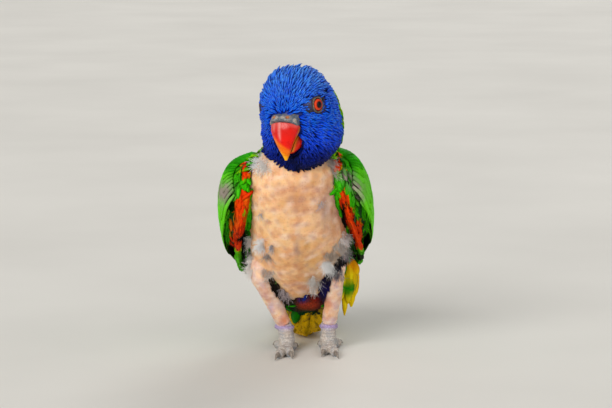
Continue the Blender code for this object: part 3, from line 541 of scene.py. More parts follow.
colours = all_over(points, PEACH)
seen = facing_front(normals) > -0.1
for across, height, wide, tall, tone, share in SKIN_BLOTS:
    colours = mixed(colours, tone, share * seen * blot(points, across, height, wide, tall))
leg = layered(
    all_over(points, "#ffd8ae"),
    ("#e4c4bc", 0.5 + 0.5 * soft_noise(points, 0.007, 21)),
    ("#fff0e4", 0.7 * patches(points, 0.0035, 24)),
    ("#c0a0b4", 0.6 * patches(points, 0.0045, 23, 0.2)),
    ("#e89a5e", 0.8 * blot(points, 10.0, -48.5, 2.6, 3.6)),
    ("#ee8a4c", 0.7 * blot(points, -10.0, -55.5, 1.8, 3.4)),
    ("#b9a4c8", 0.6 * blot(points, -16.5, -49.0, 1.4, 3.0)),
)
above_arc = chin_share(points, normals)
in_front = normals[:, 1] < 0.3
green = mixed(all_over(points, LEAF), BOTTLE, 0.5 + 0.5 * soft_noise(points, 0.01, 22))
tail_root = np.where(normals[:, 2:] < 0.15, OLIVE, LEAF)
vent = spots_share(points, VENT_BAND) * np.clip(on_trunk + on_tail, 0, 1)
vent *= (normals[:, 1] < 0.35) * (points[:, 1] < 0.03)
lore = sum(blot(points, *spot) for spot in LORE_SPOTS)
# Under the plumage the skin takes the feathers' colours at about half their brightness: painted
# shade in the gaps between the feathers
colours = layered(
    colours,
    ("#fbe8da", 0.50 * patches(points, 0.0065, 25, 0.1)),
    ("#b88c84", 0.45 * patches(points, 0.0050, 26, 0.1)),
    ("#e8a850", 0.40 * patches(points, 0.0080, 27, 0.1)),
    (leg, on_shin),
    (head_colours(points)[0] * 0.45, on_head * above_arc),
    # the chin band's skin takes the same near-black painted shade
    (CHIN_SHADE, of_nodes(owner, "neck") * above_arc * in_front),
    (green * 0.5, np.clip(on_back + on_wing, 0, 1)),
    (tail_root * 0.5, on_tail),
    ("#1a1512", 0.9 * vent),
    ("#1c1a24", np.clip(1.3 * lore, 0, 1) * on_head),
    ("#332e30", near_eye * on_head * 0.8),
)


def paint(mesh, colours, name="Paint"):
    """Keeps a colour for each point of a mesh, for its material to read."""
    layer = mesh.color_attributes.new(name, "FLOAT_COLOR", "POINT")
    full = np.ones((len(colours), 4), np.float32)
    full[:, :3] = colours
    layer.data.foreach_set("color", full.ravel())


paint(skin_data, spread(colours, edges, 1))
bare_now = np.clip(bare * (1 - vent), 0, 1)
paint(skin_data, np.repeat(bare_now[:, None], 3, axis=1), "Bare")
skin_data.shade_smooth()

# The skin's own unwrap is the map OFBake. The feathers' places on theirs come from it
for other in bpy.context.view_layer.objects:
    other.select_set(other == skin)
bpy.context.view_layer.objects.active = skin
bpy.ops.object.mode_set(mode="EDIT")
bpy.ops.mesh.select_all(action="SELECT")
bpy.ops.uv.smart_project(angle_limit=math.radians(66), island_margin=0.002)
bpy.ops.object.mode_set(mode="OBJECT")
skin_data.uv_layers.active.name = "OFBake"

# Living skin, thin and uncoated: it lets light in a little way and shows feather follicles
# about 1.3 mm apart, fine creases and a waxy shine
PAINT = {"attribute_name": "Paint"}
TINT = {"data_type": "RGBA", "blend_type": "MULTIPLY"}
MULTIPLY_ADD = {"operation": "MULTIPLY_ADD"}
live_skin, tree, spot = new_material("bare_bird_skin")
coat = add_node(tree, "Attribute", PAINT)
blotch = add_node(tree, "TexNoise", Vector=spot, Scale=170.0, Detail=3.0, Roughness=0.55)
stops = ((0.30, "#d8a890"), (0.45, "#f6e2d6"), (0.56, "#ffffff"), (0.70, "#fbe6c4"))
mottle = add_node(tree, "ValToRGB", stops=stops, Fac=blotch)
mottle.color_ramp.interpolation = "B_SPLINE"
tinted = add_node(tree, "Mix", TINT, in_0=0.7, in_6=coat, in_7=mottle)
pores = add_node(tree, "TexVoronoi", Vector=spot, Scale=770.0, Randomness=0.75)
pits = add_node(tree, "ValToRGB", stops=((0.05, "#94685a"), (0.25, "#ffffff")), Fac=pores)
bareness = add_node(tree, "Attribute", {"attribute_name": "Bare"}).outputs["Fac"]
pitted = add_node(tree, "Math", {"operation": "MULTIPLY"}, in_0=bareness, in_1=0.38)
speckled = add_node(tree, "Mix", TINT, in_0=pitted, in_6=tinted, in_7=pits)
creases = add_node(tree, "TexNoise", Vector=spot, Scale=1500.0, Detail=4.0, Roughness=0.65)
height = add_node(tree, "Math", MULTIPLY_ADD, in_0=pores, in_1=-0.8, in_2=creases)
bump = add_node(tree, "Bump", Strength=0.55, Distance=0.00022, Height=height)
close_material(
    tree,
    Base_Color=speckled,
    Roughness=0.5,
    IOR=1.4,
    Subsurface_Weight=0.18,
    Subsurface_Radius=(0.0024, 0.0009, 0.0005),
    Subsurface_Scale=1.0,
    Normal=bump,
)


def settle(obj, surface, slot_name, *replaced):
    """Moves a finished piece home, gives it its material, hangs it on the root body and hides the
    CAD nodes that it replaces.
    """
    obj.data.materials.clear()
    obj.data.materials.append(surface)
    obj.data.transform(Matrix.Translation(HOME))
    obj.data.update()
    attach(obj, "root")
    if replaced:
        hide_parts(*replaced)


# The head's plumage. Narrow pointed feathers of stiff blue keratin lie in close rows from
# the bill back over the crown and cheeks, and stand a little on the crown. Each is a thin
# closed wedge with its shaft as a ridge.
def skin_faces(mesh):
    """Each face's middle, normal, place on the map OFBake and first corner, as arrays."""
    faces = mesh.polygons
    middles, facings = (rows_of(faces, key, 3).astype(float) for key in ("center", "normal"))
    starts = rows_of(faces, "loop_start", 1, np.int32)[:, 0]
    totals = rows_of(faces, "loop_total", 1, np.int32)[:, 0]
    uvs = rows_of(mesh.uv_layers["OFBake"].data, "uv", 2)
    corners = rows_of(mesh.loops, "vertex_index", 1, np.int32)[:, 0]
    return middles, facings, (uvs[starts] + uvs[starts + totals // 2]) / 2, corners[starts]


def tree_of(points, mesh):
    """A mesh's faces, ready to be searched, with its points at the places given."""
    faces = [tuple(face.vertices) for face in mesh.polygons]
    return BVHTree.FromPolygons([Vector(p) for p in points], faces)


skin_tree = tree_of(skin_points, skin_data)
face_centres, face_normals, face_uvs, face_corner = skin_faces(skin_data)


def unit_rows(rows):
    return rows / np.maximum(np.linalg.norm(rows, axis=-1, keepdims=True), 1e-12)


def shafts_on_skin(roots, ways, lengths, heights):
    """Shafts that start on the skin and follow it. heights (n, steps) is how far above it
    they run. Each is eased into one plain bend. Returns their points and the outward
    direction at each."""
    steps = heights.shape[1]
    shafts = np.empty((len(roots), steps, 3))
    ups = np.empty((len(roots), steps, 3))
    for i in range(len(roots)):
        at, way = Vector(roots[i]), Vector(ways[i])
        stride = lengths[i] / (steps - 1)
        found = skin_tree.find_nearest(at)
        for k in range(steps):
            normal = Vector(soft_normals[face_corner[found[2]]])
            shafts[i, k] = found[0] + normal * heights[i, k]
            ups[i, k] = normal
            if k < steps - 1:
                way = (way - normal * way.dot(normal)).normalized()
                found = skin_tree.find_nearest(found[0] + way * stride)
    bend = np.vander(np.linspace(0, 1, steps), 3)
    ease = bend @ np.linalg.pinv(bend)
    shafts, ups = (np.einsum("ij,njk->nik", ease, rows) for rows in (shafts, ups))
    return shafts, unit_rows(0.4 * ups + 0.6 * ups.mean(axis=1, keepdims=True))


# Sections across a feather: the share of half the width, the arch as a share of the width,
# and the height in thicknesses. The head's is a narrow ridged wedge, the body's a shallow one
HACKLE = np.array(((-1, 0, 0), (0, 0.16, 1), (1, 0, 0)))
ROUNDED = np.array(((-1, 0, 0), (0, 0.055, 1), (1, 0, 0)))
FLOOR_GAP = 0.0002  # no feather goes lower over the floor than this
PATCH_WIDE = 0.0015  # a feather's patch of the map OFBake, to each side of its root's place
PATCH_LONG = 0.003


def plumage(
    name, shafts, ups, widths, thickness, colours, uvs, section, shine=0.0, edge_shade=1.0, under=None
):
    """One mesh of many feathers, each thickness thick. shafts and ups are (n, steps, 3),
    widths (n, steps), colours (n, steps, 3), uvs (n, 2) and under (n, 3)."""
    count, steps = shafts.shape[:2]
    corners = len(section)
    along = unit_rows(np.gradient(shafts, axis=1))
    sides = unit_rows(np.cross(along, ups))
    lifts = np.cross(sides, along)
    half = widths[:, :, None] * 0.5 * section[:, 0]
    rise = widths[:, :, None] * section[:, 1] + thickness * section[:, 2]
    places = shafts[:, :, None, :] + sides[:, :, None, :] * half[..., None]
    places = places + lifts[:, :, None, :] * rise[..., None]
    places[..., 2] = np.maximum(places[..., 2], FLOOR_GAP)
    number = np.arange(count * steps * corners).reshape(count, steps, corners)
    ahead = np.roll(number, -1, axis=2)
    quads = np.stack([number[:, :-1], ahead[:, :-1], ahead[:, 1:], number[:, 1:]], axis=-1)
    faces = quads.reshape(-1, 4).tolist()
    faces += number[:, 0, ::-1].tolist() + number[:, -1].tolist()
    mesh = bpy.data.meshes.new(name)
    mesh.from_pydata(places.reshape(-1, 3).tolist(), [], faces)
    loops = rows_of(mesh.loops, "vertex_index", 1, np.int32)[:, 0]
    share = np.linspace(0, 1, steps)[None, :, None]
    patch = np.empty((count, steps, corners, 2))
    patch[..., 0] = uvs[:, None, None, 0] + section[:, 0] * PATCH_WIDE
    patch[..., 1] = uvs[:, None, None, 1] + (share - 0.5) * PATCH_LONG
    strides = np.linalg.norm(np.diff(shafts, axis=1), axis=2)
    reach = np.concatenate([np.zeros((count, 1)), np.cumsum(strides, axis=1)], axis=1)
    vane = np.empty((count, steps, corners, 2))
    vane[..., 0] = half * 1000
    vane[..., 1] = reach[:, :, None] * 1000
    for title, values in (("OFBake", patch), ("Vane", vane)):
        layer = mesh.uv_layers.new(name=title)
        layer.data.foreach_set("uv", values.reshape(-1, 2)[loops].astype(np.float32).ravel())
    mesh.uv_layers.active = mesh.uv_layers["OFBake"]
    mesh.uv_layers["OFBake"].active_render = True
    # Across each feather the colour is raised along the shaft's ridge and lowered at the vane's
    # edges: a painted highlight along the shaft and painted shade at the edges, which on the head
    # also draw its paler shaft streaks
    ridge = edge_shade + (1 + shine - edge_shade) * (1 - np.abs(section[:, 0])) * (section[:, 2] > 0)
    shades = np.clip(colours[:, :, None, :] * ridge[None, None, :, None], 0, 1)
    if under is not None:
        shades[:, :, section[:, 2] < 0] = under[:, None, None, :]
    paint(mesh, shades.reshape(-1, 3))
    mesh.shade_smooth()
    obj = bpy.data.objects.new(name, mesh)
    scene.collection.objects.link(obj)
    return obj


def feather_material(name, barb_mm, gloss, roughness, streak):
    """Keratin barbs, laid as fine slanting lines from the shaft. The real spacing is about
    0.15 mm, and it is drawn at barb_mm so that it shows."""
    made, tree, spot = new_material(name)
    coat = add_node(tree, "Attribute", PAINT)
    vane = add_node(tree, "UVMap", {"uv_map": "Vane"})
    parts = add_node(tree, "SeparateXYZ", Vector=vane)
    across = add_node(tree, "Math", {"operation": "ABSOLUTE"}, in_0=parts.outputs["X"])
    slant = add_node(tree, "Math", MULTIPLY_ADD, in_0=across, in_1=-0.9, in_2=parts.outputs["Y"])
    turns = 2 * math.pi / barb_mm
    phase = add_node(tree, "Math", {"operation": "MULTIPLY"}, in_0=slant, in_1=turns)
    wave = add_node(tree, "Math", {"operation": "SINE"}, in_0=phase)
    cloud = add_node(tree, "TexNoise", Vector=spot, Scale=420.0, Detail=4.0, Roughness=0.6)
    height = add_node(tree, "Math", MULTIPLY_ADD, in_0=wave, in_1=0.28, in_2=cloud)
    stops = ((0.2, streak), (0.5, "#ffffff"), (0.95, "#ffffff"))
    shade = add_node(tree, "ValToRGB", stops=stops, Fac=height)
    tinted = add_node(tree, "Mix", TINT, in_0=0.6, in_6=coat, in_7=shade)
    bump = add_node(tree, "Bump", Strength=0.35, Distance=0.00008, Height=wave)
    close_material(
        tree,
        Base_Color=tinted,
        Roughness=roughness,
        IOR=1.54,
        Specular_IOR_Level=gloss,
        Normal=bump,
    )
    return made


def places_on_map(roots):
    """Where roots stand on the skin's own unwrap, OFBake."""
    return np.array([face_uvs[skin_tree.find_nearest(Vector(p))[2]] for p in roots])


def thinned(mask, share, rng):
    """Numbers of the faces that a mask picks, with only a share of them kept."""
    return np.flatnonzero(mask & (rng.random(len(mask)) < share))


def per_step(full, profile):
    """A number for each step of each shaft, from its full value and one profile."""
    return np.asarray(full)[:, None] * np.asarray(profile)[None, :]


HACKLE_THICK = 0.00014
LID_REACH = 0.0044  # no feather of the head grows nearer to an eye's place than this
rng = np.random.default_rng(3)
faces_at = to_face(face_centres)
face_owner = owner[face_corner]
head_colour, face_collar = head_colours(face_centres)
eye_gap = eye_distance(faces_at)
seen_lore = sum(blot(face_centres, *spot) for spot in LORE_GAPS)
seen_lore *= facing_front(face_normals) > 0
from_bill = np.linalg.norm(faces_at - BILL_BASE, axis=1)
# The bill and its cere need a gap among the feathers of the face
bill_room = (np.abs(faces_at[:, 0]) < 0.0066) & (faces_at[:, 1] < -0.0100)
bill_room &= (faces_at[:, 2] < 0.0048) & (faces_at[:, 2] > -0.0135)
above_arc = chin_share(face_centres, face_normals) > 0.5
chin_band = of_nodes(face_owner, "neck") & above_arc & (face_normals[:, 1] < 0.3)
feathered = (of_nodes(face_owner, "head") & above_arc) | chin_band
feathered &= (eye_gap > LID_REACH) & (seen_lore < 0.42) & ~bill_room
# The feathers are small and close round the bill and the eyes, and larger behind
coarse = smoothstep(0.009, 0.024, from_bill) * smoothstep(0.006, 0.013, eye_gap)
coarse *= 0.3 + 0.7 * smoothstep(-0.020, -0.008, faces_at[:, 2])
chosen = thinned(feathered & (face_collar < 0.5), 0.82 - 0.38 * coarse, rng)
roots, at, coarse = face_centres[chosen], faces_at[chosen], coarse[chosen]
roots = roots + rng.normal(scale=0.00022, size=roots.shape)
# They point away from the bill, and those on the cheeks turn down and back
away = at - BILL_BASE
away[:, 2] -= 0.25 * np.abs(at[:, 0]) + 0.0015
away = unit_rows(away @ np.array(FACE)[:3, :3].T) + rng.normal(scale=0.09, size=roots.shape)
low = 1 - smoothstep(-0.018, -0.004, at[:, 2])
away[:, 1] += 0.45 * low
crown = smoothstep(0.008, 0.022, at[:, 2])
lengths = (0.0030 + 0.0026 * coarse) * (1 - 0.55 * low) * rng.uniform(0.85, 1.2, len(roots))
lengths *= np.where(chin_band[chosen], 0.75, 1.0)
lengths *= 1 - 0.45 * (1 - smoothstep(LID_REACH, 0.0075, eye_gap[chosen]))
# Some stand higher than the rest, above all on the crown
lead = rng.random(len(roots)) < 0.22
tips = 0.0011 + 0.0007 * coarse + 0.0009 * crown - 0.0006 * low
tips = tips + np.where(lead, 0.0004 + 0.0005 * crown, 0)
tips *= rng.uniform(0.85, 1.15, len(roots)) * (1 + 0.15 * soft_noise(roots, 0.0034, 13))
tips *= 0.45 + 0.55 * smoothstep(LID_REACH, 0.0080, eye_gap[chosen])
rise = per_step(tips, (0.0, 0.34, 0.60, 0.78, 0.90, 1.0))
shafts, ups = shafts_on_skin(roots, away, lengths, rise)
full = (0.00105 + 0.00085 * coarse) * rng.uniform(0.8, 1.2, len(roots))
widths = per_step(full, (0.55, 0.92, 1.0, 0.88, 0.55, 0.06))
# Each is dark at its root, painted shade under the feathers that overlap it, and palest at its tip
base = head_colour[chosen] * rng.uniform(0.72, 1.22, (len(roots), 1))
bright = np.clip(1.6 * base[:, 2], 0, 1)
light_tip = mixed(base * 1.3, "#8aa6ff", 0.30 * bright * rng.random(len(roots)))
shading_along = np.array((0.20, 0.42, 0.78, 1.12, 1.3, 1.35))
coloured = base[:, None, :] * shading_along[None, :, None]
coloured[:, 4:] = 0.4 * coloured[:, 4:] + 0.6 * light_tip[:, None, :]
head_plumage = plumage(
    "head_plumage", shafts, ups, widths, HACKLE_THICK, coloured, face_uvs[chosen], HACKLE,
    shine=1.2, edge_shade=0.6,
)
blue_keratin = feather_material("blue_feather_keratin", 0.34, 0.07, 0.5, "#7080b0")
settle(head_plumage, blue_keratin, "blue_plumage")

# The nape's collar and the mantle. Rounded body feathers, yellow-green on the nape and leaf
# green down the back to the rump, lie head to tail over one another.
BODY_VANE_THICK = 0.00014
DOWN_THE_BACK = (0.0, 0.62, -0.78)
on_mantle = of_nodes(face_owner, "neck", "torso")
on_mantle &= (face_normals[:, 1] > 0.12) & (face_normals[:, 2] > -0.5)
on_collar = of_nodes(face_owner, "head") & (face_collar >= 0.5)
on_collar |= of_nodes(face_owner, "neck") & on_mantle


def body_plumage(
    name, mask, share, length, width, coat_depth, colour, seed, ragged=0.25, way=DOWN_THE_BACK,
    shading_along=(0.45, 0.62, 0.80, 0.95, 1.08, 1.15), uneven=0.15,
):
    """A coat of rounded feathers over the faces of a mask, from head to tail."""
    rng = np.random.default_rng(seed)
    chosen = thinned(mask, share, rng)
    roots = face_centres[chosen] + rng.normal(scale=0.0003, size=(len(chosen), 3))
    ways = np.tile(np.array(way, float), (len(roots), 1))
    ways = ways + rng.normal(scale=ragged * 0.4, size=roots.shape)
    # Shorter and lower where the skin bends sharply, so that none sticks out
    calm = 0.35 + 0.65 * smoothstep(0.45, 0.9, flatness[face_corner[chosen]])
    lengths = length * (0.5 + 0.5 * calm) * rng.uniform(0.85, 1.15, len(roots))
    tips = coat_depth * rng.uniform(0.85, 1.1, len(roots)) * calm
    rise = per_step(tips, (0.0, 0.45, 0.75, 0.92, 1.0, 0.98))
    shafts, ups = shafts_on_skin(roots, ways, lengths, rise)
    full = width * calm * rng.uniform(0.85, 1.15, len(roots))
    widths = per_step(full, (0.5, 0.85, 1.0, 0.98, 0.74, 0.22))
    base = colour(shafts[:, 3], face_normals[chosen])
    base = base * rng.uniform(1 - uneven, 1 + uneven, (len(roots), 1))
    # Each is painted darker towards its root, as shade under the feathers that overlap it
    coloured = base[:, None, :] * np.array(shading_along)[None, :, None]
    return plumage(
        name, shafts, ups, widths, BODY_VANE_THICK, coloured, face_uvs[chosen], ROUNDED,
        shine=0.15, edge_shade=0.9,
    )


def collar_colours(points, _):
    lower = 1 - smoothstep(0.088, 0.104, points[:, 2])
    lime = 0.5 + 0.5 * soft_noise(points, 0.005, 34)
    return layered(all_over(points, COLLAR), (LIME, lime), (LEAF, lower))


def mantle_colours(points, _):
    dark, light = 0.35 + 0.35 * soft_noise(points, 0.014, 31), 0.2 * patches(points, 0.009, 32)
    return layered(all_over(points, LEAF), (BOTTLE, dark), (LIME, light))


green_keratin = feather_material("green_feather_keratin", 0.36, 0.04, 0.55, "#7c9460")
collar_coat = body_plumage(
    "collar_plumage", on_collar, 0.75, 0.0060, 0.0024, 0.0030, collar_colours, 41
)
settle(collar_coat, green_keratin, "green_plumage")
mantle_coat = body_plumage(
    "mantle_plumage", on_mantle, 0.26, 0.0100, 0.0052, 0.0021, mantle_colours, 42, ragged=0.08,
    shading_along=(0.75, 0.84, 0.92, 1.0, 1.05, 1.08), uneven=0.06,
)
settle(mantle_coat, green_keratin, "green_plumage")
settle(skin, live_skin, "bare_skin", "head", "neck", "torso", "shin_left", "shin_right")

# The folded wings. Small coverts over the shoulder, then longer ones, then the stiff flight
# feathers, lie in tiers like roof tiles with the shafts on top. They follow the folds of
# the CAD wing: each row is the ventral edge, the dorsal edge and how far the face bulges.
WING_ROWS = (
    (0.0210, -0.0245, 0.0925, 0.0185, -0.0180, 0.0965, 0.0012),
    (0.0265, -0.0270, 0.0870, 0.0165, -0.0110, 0.1000, 0.0066),
    (0.0310, -0.0230, 0.0755, 0.0155, 0.0010, 0.0985, 0.0096),
    (0.0338, -0.0120, 0.0625, 0.0140, 0.0140, 0.0895, 0.0104),
    (0.0338, 0.0040, 0.0505, 0.0125, 0.0270, 0.0775, 0.0098),
    (0.0310, 0.0220, 0.0402, 0.0105, 0.0390, 0.0650, 0.0082),
    (0.0262, 0.0420, 0.0305, 0.0085, 0.0520, 0.0535, 0.0062),
    (0.0200, 0.0640, 0.0240, 0.0070, 0.0670, 0.0410, 0.0040),
    (0.0135, 0.0860, 0.0185, 0.0060, 0.0860, 0.0300, 0.0020),
    (0.0075, 0.1060, 0.0145, 0.0045, 0.1060, 0.0200, 0.0008),
)
WING_OUTWARDS = np.array((0.8, 0.0, 0.6))
LEAN = math.radians(4.3)
LEAN_BASE = Vector((0.0021, 0.0, 0.0175))
LEANED = (
    Matrix.Translation(LEAN_BASE)
    @ Matrix.Rotation(-LEAN, 4, "Y")
    @ Matrix.Translation((0, 0, -LEAN_BASE.z))
)


def smooth_rows(rows, count):
    """Rows of numbers resampled along one Catmull-Rom curve through all of them."""
    points = np.array(rows, float)
    padded = np.vstack([2 * points[0] - points[1], points, 2 * points[-1] - points[-2]])
    found = []
    for at in np.linspace(0, len(points) - 1, count):
        i = min(int(at), len(points) - 2)
        t = at - i
        a, b, c, d = padded[i : i + 4]
        bend = (c - a) * t + (2 * a - 5 * b + 4 * c - d) * t**2 + (3 * b - a - 3 * c + d) * t**3
        found.append(0.5 * (2 * b + bend))
    return np.array(found)


wing_fold = smooth_rows(WING_ROWS, 120)


def wing_row(share):
    grid = np.linspace(0, 1, len(wing_fold))
    return np.stack([np.interp(share, grid, column) for column in wing_fold.T], axis=-1)


def wing_face(share, chord):
    """Points of the left wing's outer face. chord is 0 at its lower edge, 1 at its upper."""
    row, ahead, behind = wing_row(share), wing_row(share + 0.01), wing_row(share - 0.01)
    along = ahead[..., 0:3] + ahead[..., 3:6] - behind[..., 0:3] - behind[..., 3:6]
    across = row[..., 3:6] - row[..., 0:3]
    out = unit_rows(np.cross(along, across))
    out = out * np.sign(out[..., :1])
    bulge = row[..., 6] * np.sin(math.pi * np.clip(chord, 0, 1))
    return row[..., 0:3] + across * chord[..., None] + out * bulge[..., None]


def wing_normal(share, chord):
    """Which way the wing's outer face looks at points of it."""
    ahead, behind = np.minimum(1, share + 0.02), np.maximum(0, share - 0.02)
    along = wing_face(ahead, chord) - wing_face(behind, chord)
    across = wing_face(share, chord + 0.02) - wing_face(share, chord - 0.02)
    out = unit_rows(np.cross(along, across))
    return out * np.where(out @ WING_OUTWARDS > 0, 1.0, -1.0)[..., None]


def turned(matrix, points, is_point=True):
    turn = np.array(matrix)
    moved = points @ turn[:3, :3].T
    return moved + turn[:3, 3] if is_point else moved


# Each tier: how many, the shares of the wing's length of the roots and tips at the lower
# and the upper end, the chords there at root and tip, width, height over the wing's face,
# steps along the shaft, and the colours of the outer part and of the tip
WING_TIERS = (
    dict(
        count=9, steps=14, root=(0.50, 0.46), tip=(1.0, 0.78), root_chord=(0.13, 0.56),
        tip_chord=(0.30, 0.66), width=0.0088, lift=0.0004, colour="#1c8204", tip_colour="#0c4404",
    ),
    dict(
        count=10, steps=12, root=(0.36, 0.28), tip=(0.72, 0.66), root_chord=(0.09, 0.90),
        tip_chord=(0.22, 0.93), width=0.0092, lift=0.0006, colour="#209004", tip_colour="#0e5a04",
    ),
    dict(
        count=13, steps=10, root=(0.24, 0.14), tip=(0.49, 0.40), root_chord=(0.07, 0.90),
        tip_chord=(0.08, 0.90), width=0.0074, lift=0.0010, colour="#249c04", tip_colour="#1c8404",
    ),
    dict(
        count=16, steps=8, root=(0.16, 0.07), tip=(0.35, 0.27), root_chord=(0.06, 0.92),
        tip_chord=(0.06, 0.92), width=0.0062, lift=0.0009, colour="#2aa606", tip_colour="#3cb808",
    ),
)
BROAD = np.array(
    (
        (-1, -0.05, 0),
        (-0.55, 0.05, 0.6),
        (-0.07, 0.10, 0.9),
        (0, 0.10, 1.7),
        (0.07, 0.10, 0.9),
        (0.55, 0.05, 0.6),
        (1, -0.05, 0),
        (0.55, 0.03, -0.5),
        (0, 0.07, -0.6),
        (-0.55, 0.03, -0.5),
    )
)
SIDES = ((1, "left"), (-1, "right"))  # each side's sign on X and its word
WORN_GREY = "#92867c"
# Spots of the wings in the front view, mm: middle and radii
RED_SPOTS = (
    (-29.5, 17.0, 2.2, 4.6),
    (-30.0, 4.5, 1.9, 2.4),
    (-31.0, -1.0, 3.2, 5.0),
    (-33.0, -9.0, 3.6, 6.5),
    (-34.0, -17.0, 2.8, 5.5),
    (15.0, 21.0, 2.6, 4.6),
    (18.5, 1.5, 2.2, 3.6),
    (21.0, -6.0, 2.6, 4.5),
    (24.0, -12.5, 3.2, 5.0),
    (26.0, -18.0, 2.2, 3.4),
)
WORN_SPOTS = (
    (-38.6, 6.2, 3.4, 4.6),
    (19.5, 13.5, 3.6, 2.2),
    (23.5, 9.0, 3.6, 2.8),
    (25.5, 4.5, 2.0, 2.6),
)
# Black painted shade in the gaps between the wings and the body
SHADE_SPOTS = (
    (-30.0, -20.0, 2.6, 11.0),
    (-28.5, -28.0, 3.0, 6.0),
    (18.5, -6.0, 1.8, 8.0),
    (21.5, -20.0, 3.6, 7.0),
    (25.0, -27.0, 3.4, 5.0),
)
FLIGHT_VANE_THICK = 0.00022
VANE_STEP = 0.0007  # how far a vane's one edge stands over the next vane


def wing_colours(points, normals, base):
    """The wings' greens, bright on the outer edge and worn to grey at the bend."""
    outer = smoothstep(0.72, 0.95, np.abs(normals[:, 0])) * (points[:, 1] < 0.03)
    ragged = 1 + 0.25 * soft_noise(points, 0.003, 53)
    worn = np.clip(1.2 * spots_share(points, WORN_SPOTS) * ragged, 0, 1)
    return layered(
        base,
        (BOTTLE, 0.2 + 0.2 * soft_noise(points, 0.012, 51)),
        (LIME, 0.3 * patches(points, 0.007, 52)),
        ("#70e00a", 0.7 * outer),
        (WORN_GREY, worn * (facing_front(normals) > -0.35)),
    )


def lining_colours(points, base):
    """The red that shows in front on the wings' linings, and the black painted shade in the gaps
    between the wings and the body, laid over a base.
    """
    seen = points[:, 1] < 0.02
    bright = 0.6 + 0.4 * soft_noise(points, 0.006, 54)
    flame = mixed(all_over(points, "#f83c02"), "#ff3a04", bright)
    # The red is painted brighter, and more so on the bird's left wing, which the key light leaves
    # in shade: painted light
    flame = flame * np.where(points[:, :1] > 0, 1.35, 1.1)
    flame = mixed(flame, "#f58a14", np.clip(blot(points, -34.8, -8.0, 1.8, 3.0) * 1.2, 0, 1))
    return layered(
        base,
        (flame, smoothstep(0.25, 0.50, spots_share(points, RED_SPOTS)) * seen),
        # black painted shade where the wings meet the body
        ("#0d0b08", smoothstep(0.35, 0.7, spots_share(points, SHADE_SPOTS)) * seen),
    )


def rounded_tip(t, start, reach, power=2.0, least=0.02):
    """The share of its width that a vane keeps along its rounded tip."""
    return np.sqrt(np.clip(1 - np.clip((t - start) / reach, 0, 1) ** power, least, 1))


def wing_tiers(side):
    """The shafts, outward ways, widths and colours of one wing's large feathers, in tiers."""
    rng = np.random.default_rng(61 if side > 0 else 62)
    for tier in WING_TIERS:
        count, steps = tier["count"], tier["steps"]
        place = np.linspace(0, 1, count)[:, None]
        t = np.linspace(0, 1, steps)[None, :]

        def along(key):
            return tier[key][0] + (tier[key][1] - tier[key][0]) * place

        tips = np.minimum(1.0, along("tip") + rng.uniform(-0.012, 0.008, (count, 1)))
        share = along("root") + (tips - along("root")) * t
        chord = along("root_chord") + (along("tip_chord") - along("root_chord")) * t
        chord = chord + rng.normal(scale=0.008, size=(count, 1))
        normal = wing_normal(share, chord)
        rise = tier["lift"] - 0.0026 * np.clip(1 - t / 0.22, 0, 1) - 0.0004 * t**3
        shafts = wing_face(share, chord) + normal * rise[..., None]
        chordwise = unit_rows(wing_face(share, chord + 0.02) - wing_face(share, chord - 0.02))
        tilt = math.atan2(VANE_STEP, tier["width"] * 0.5)
        ups = normal * math.cos(tilt) + chordwise * math.sin(tilt)
        shafts[..., 0] *= side
        ups[..., 0] *= side
        shafts, ups = turned(LEANED, shafts), turned(LEANED, ups, False)
        opening = np.clip(0.45 + 0.55 * t / 0.25, 0, 1)
        closing = rounded_tip(t, 0.68, 0.33, power=2.2)
        edgeward = 0.7 + 0.3 * smoothstep(0.0, 0.16, place)
        widths = tier["width"] * edgeward * rng.uniform(0.94, 1.06, (count, 1)) * opening * closing
        flat = shafts.reshape(-1, 3)
        colours = wing_colours(flat, ups.reshape(-1, 3), all_over(flat, tier["colour"]))
        tipped = smoothstep(0.7, 1.0, t) * np.ones((count, 1))
        colours = mixed(colours.reshape(count, steps, 3), tier["tip_colour"], 0.7 * tipped)
        yield shafts, ups, widths, colours * rng.uniform(0.82, 1.18, (count, 1, 1))


feather_green = feather_material("green_flight_feather_keratin", 0.4, 0.05, 0.5, "#7c9c60")
for side, word in SIDES:
    pieces = []
    for number, (shafts, ups, widths, colours) in enumerate(wing_tiers(side)):
        vanes = plumage(
            f"wing_tier_{number}_{word}", shafts, ups, widths, FLIGHT_VANE_THICK, colours,
            places_on_map(shafts[:, 0]), BROAD, shine=0.25, under=all_over(shafts, "#1d1b14"),
        )
        pieces.append(vanes)
    bpy.ops.object.select_all(action="DESELECT")
    for piece in pieces:
        piece.select_set(True)
    bpy.context.view_layer.objects.active = pieces[0]
    bpy.ops.object.join()
    vanes = bpy.context.view_layer.objects.active
    vanes.name = "wing_feathers_" + word
    settle(vanes, feather_green, "green_plumage", "wing_" + word)


def shoulder_colours(points, normals):
    """The small feathers' leafier greens, under the lining's red and its black painted shade."""
    greens = wing_colours(points, normals, all_over(points, LEAF))
    greens = mixed(greens, "#4cc408", 0.45 * (1 - spots_share(points, WORN_SPOTS)))
    return lining_colours(points, greens)


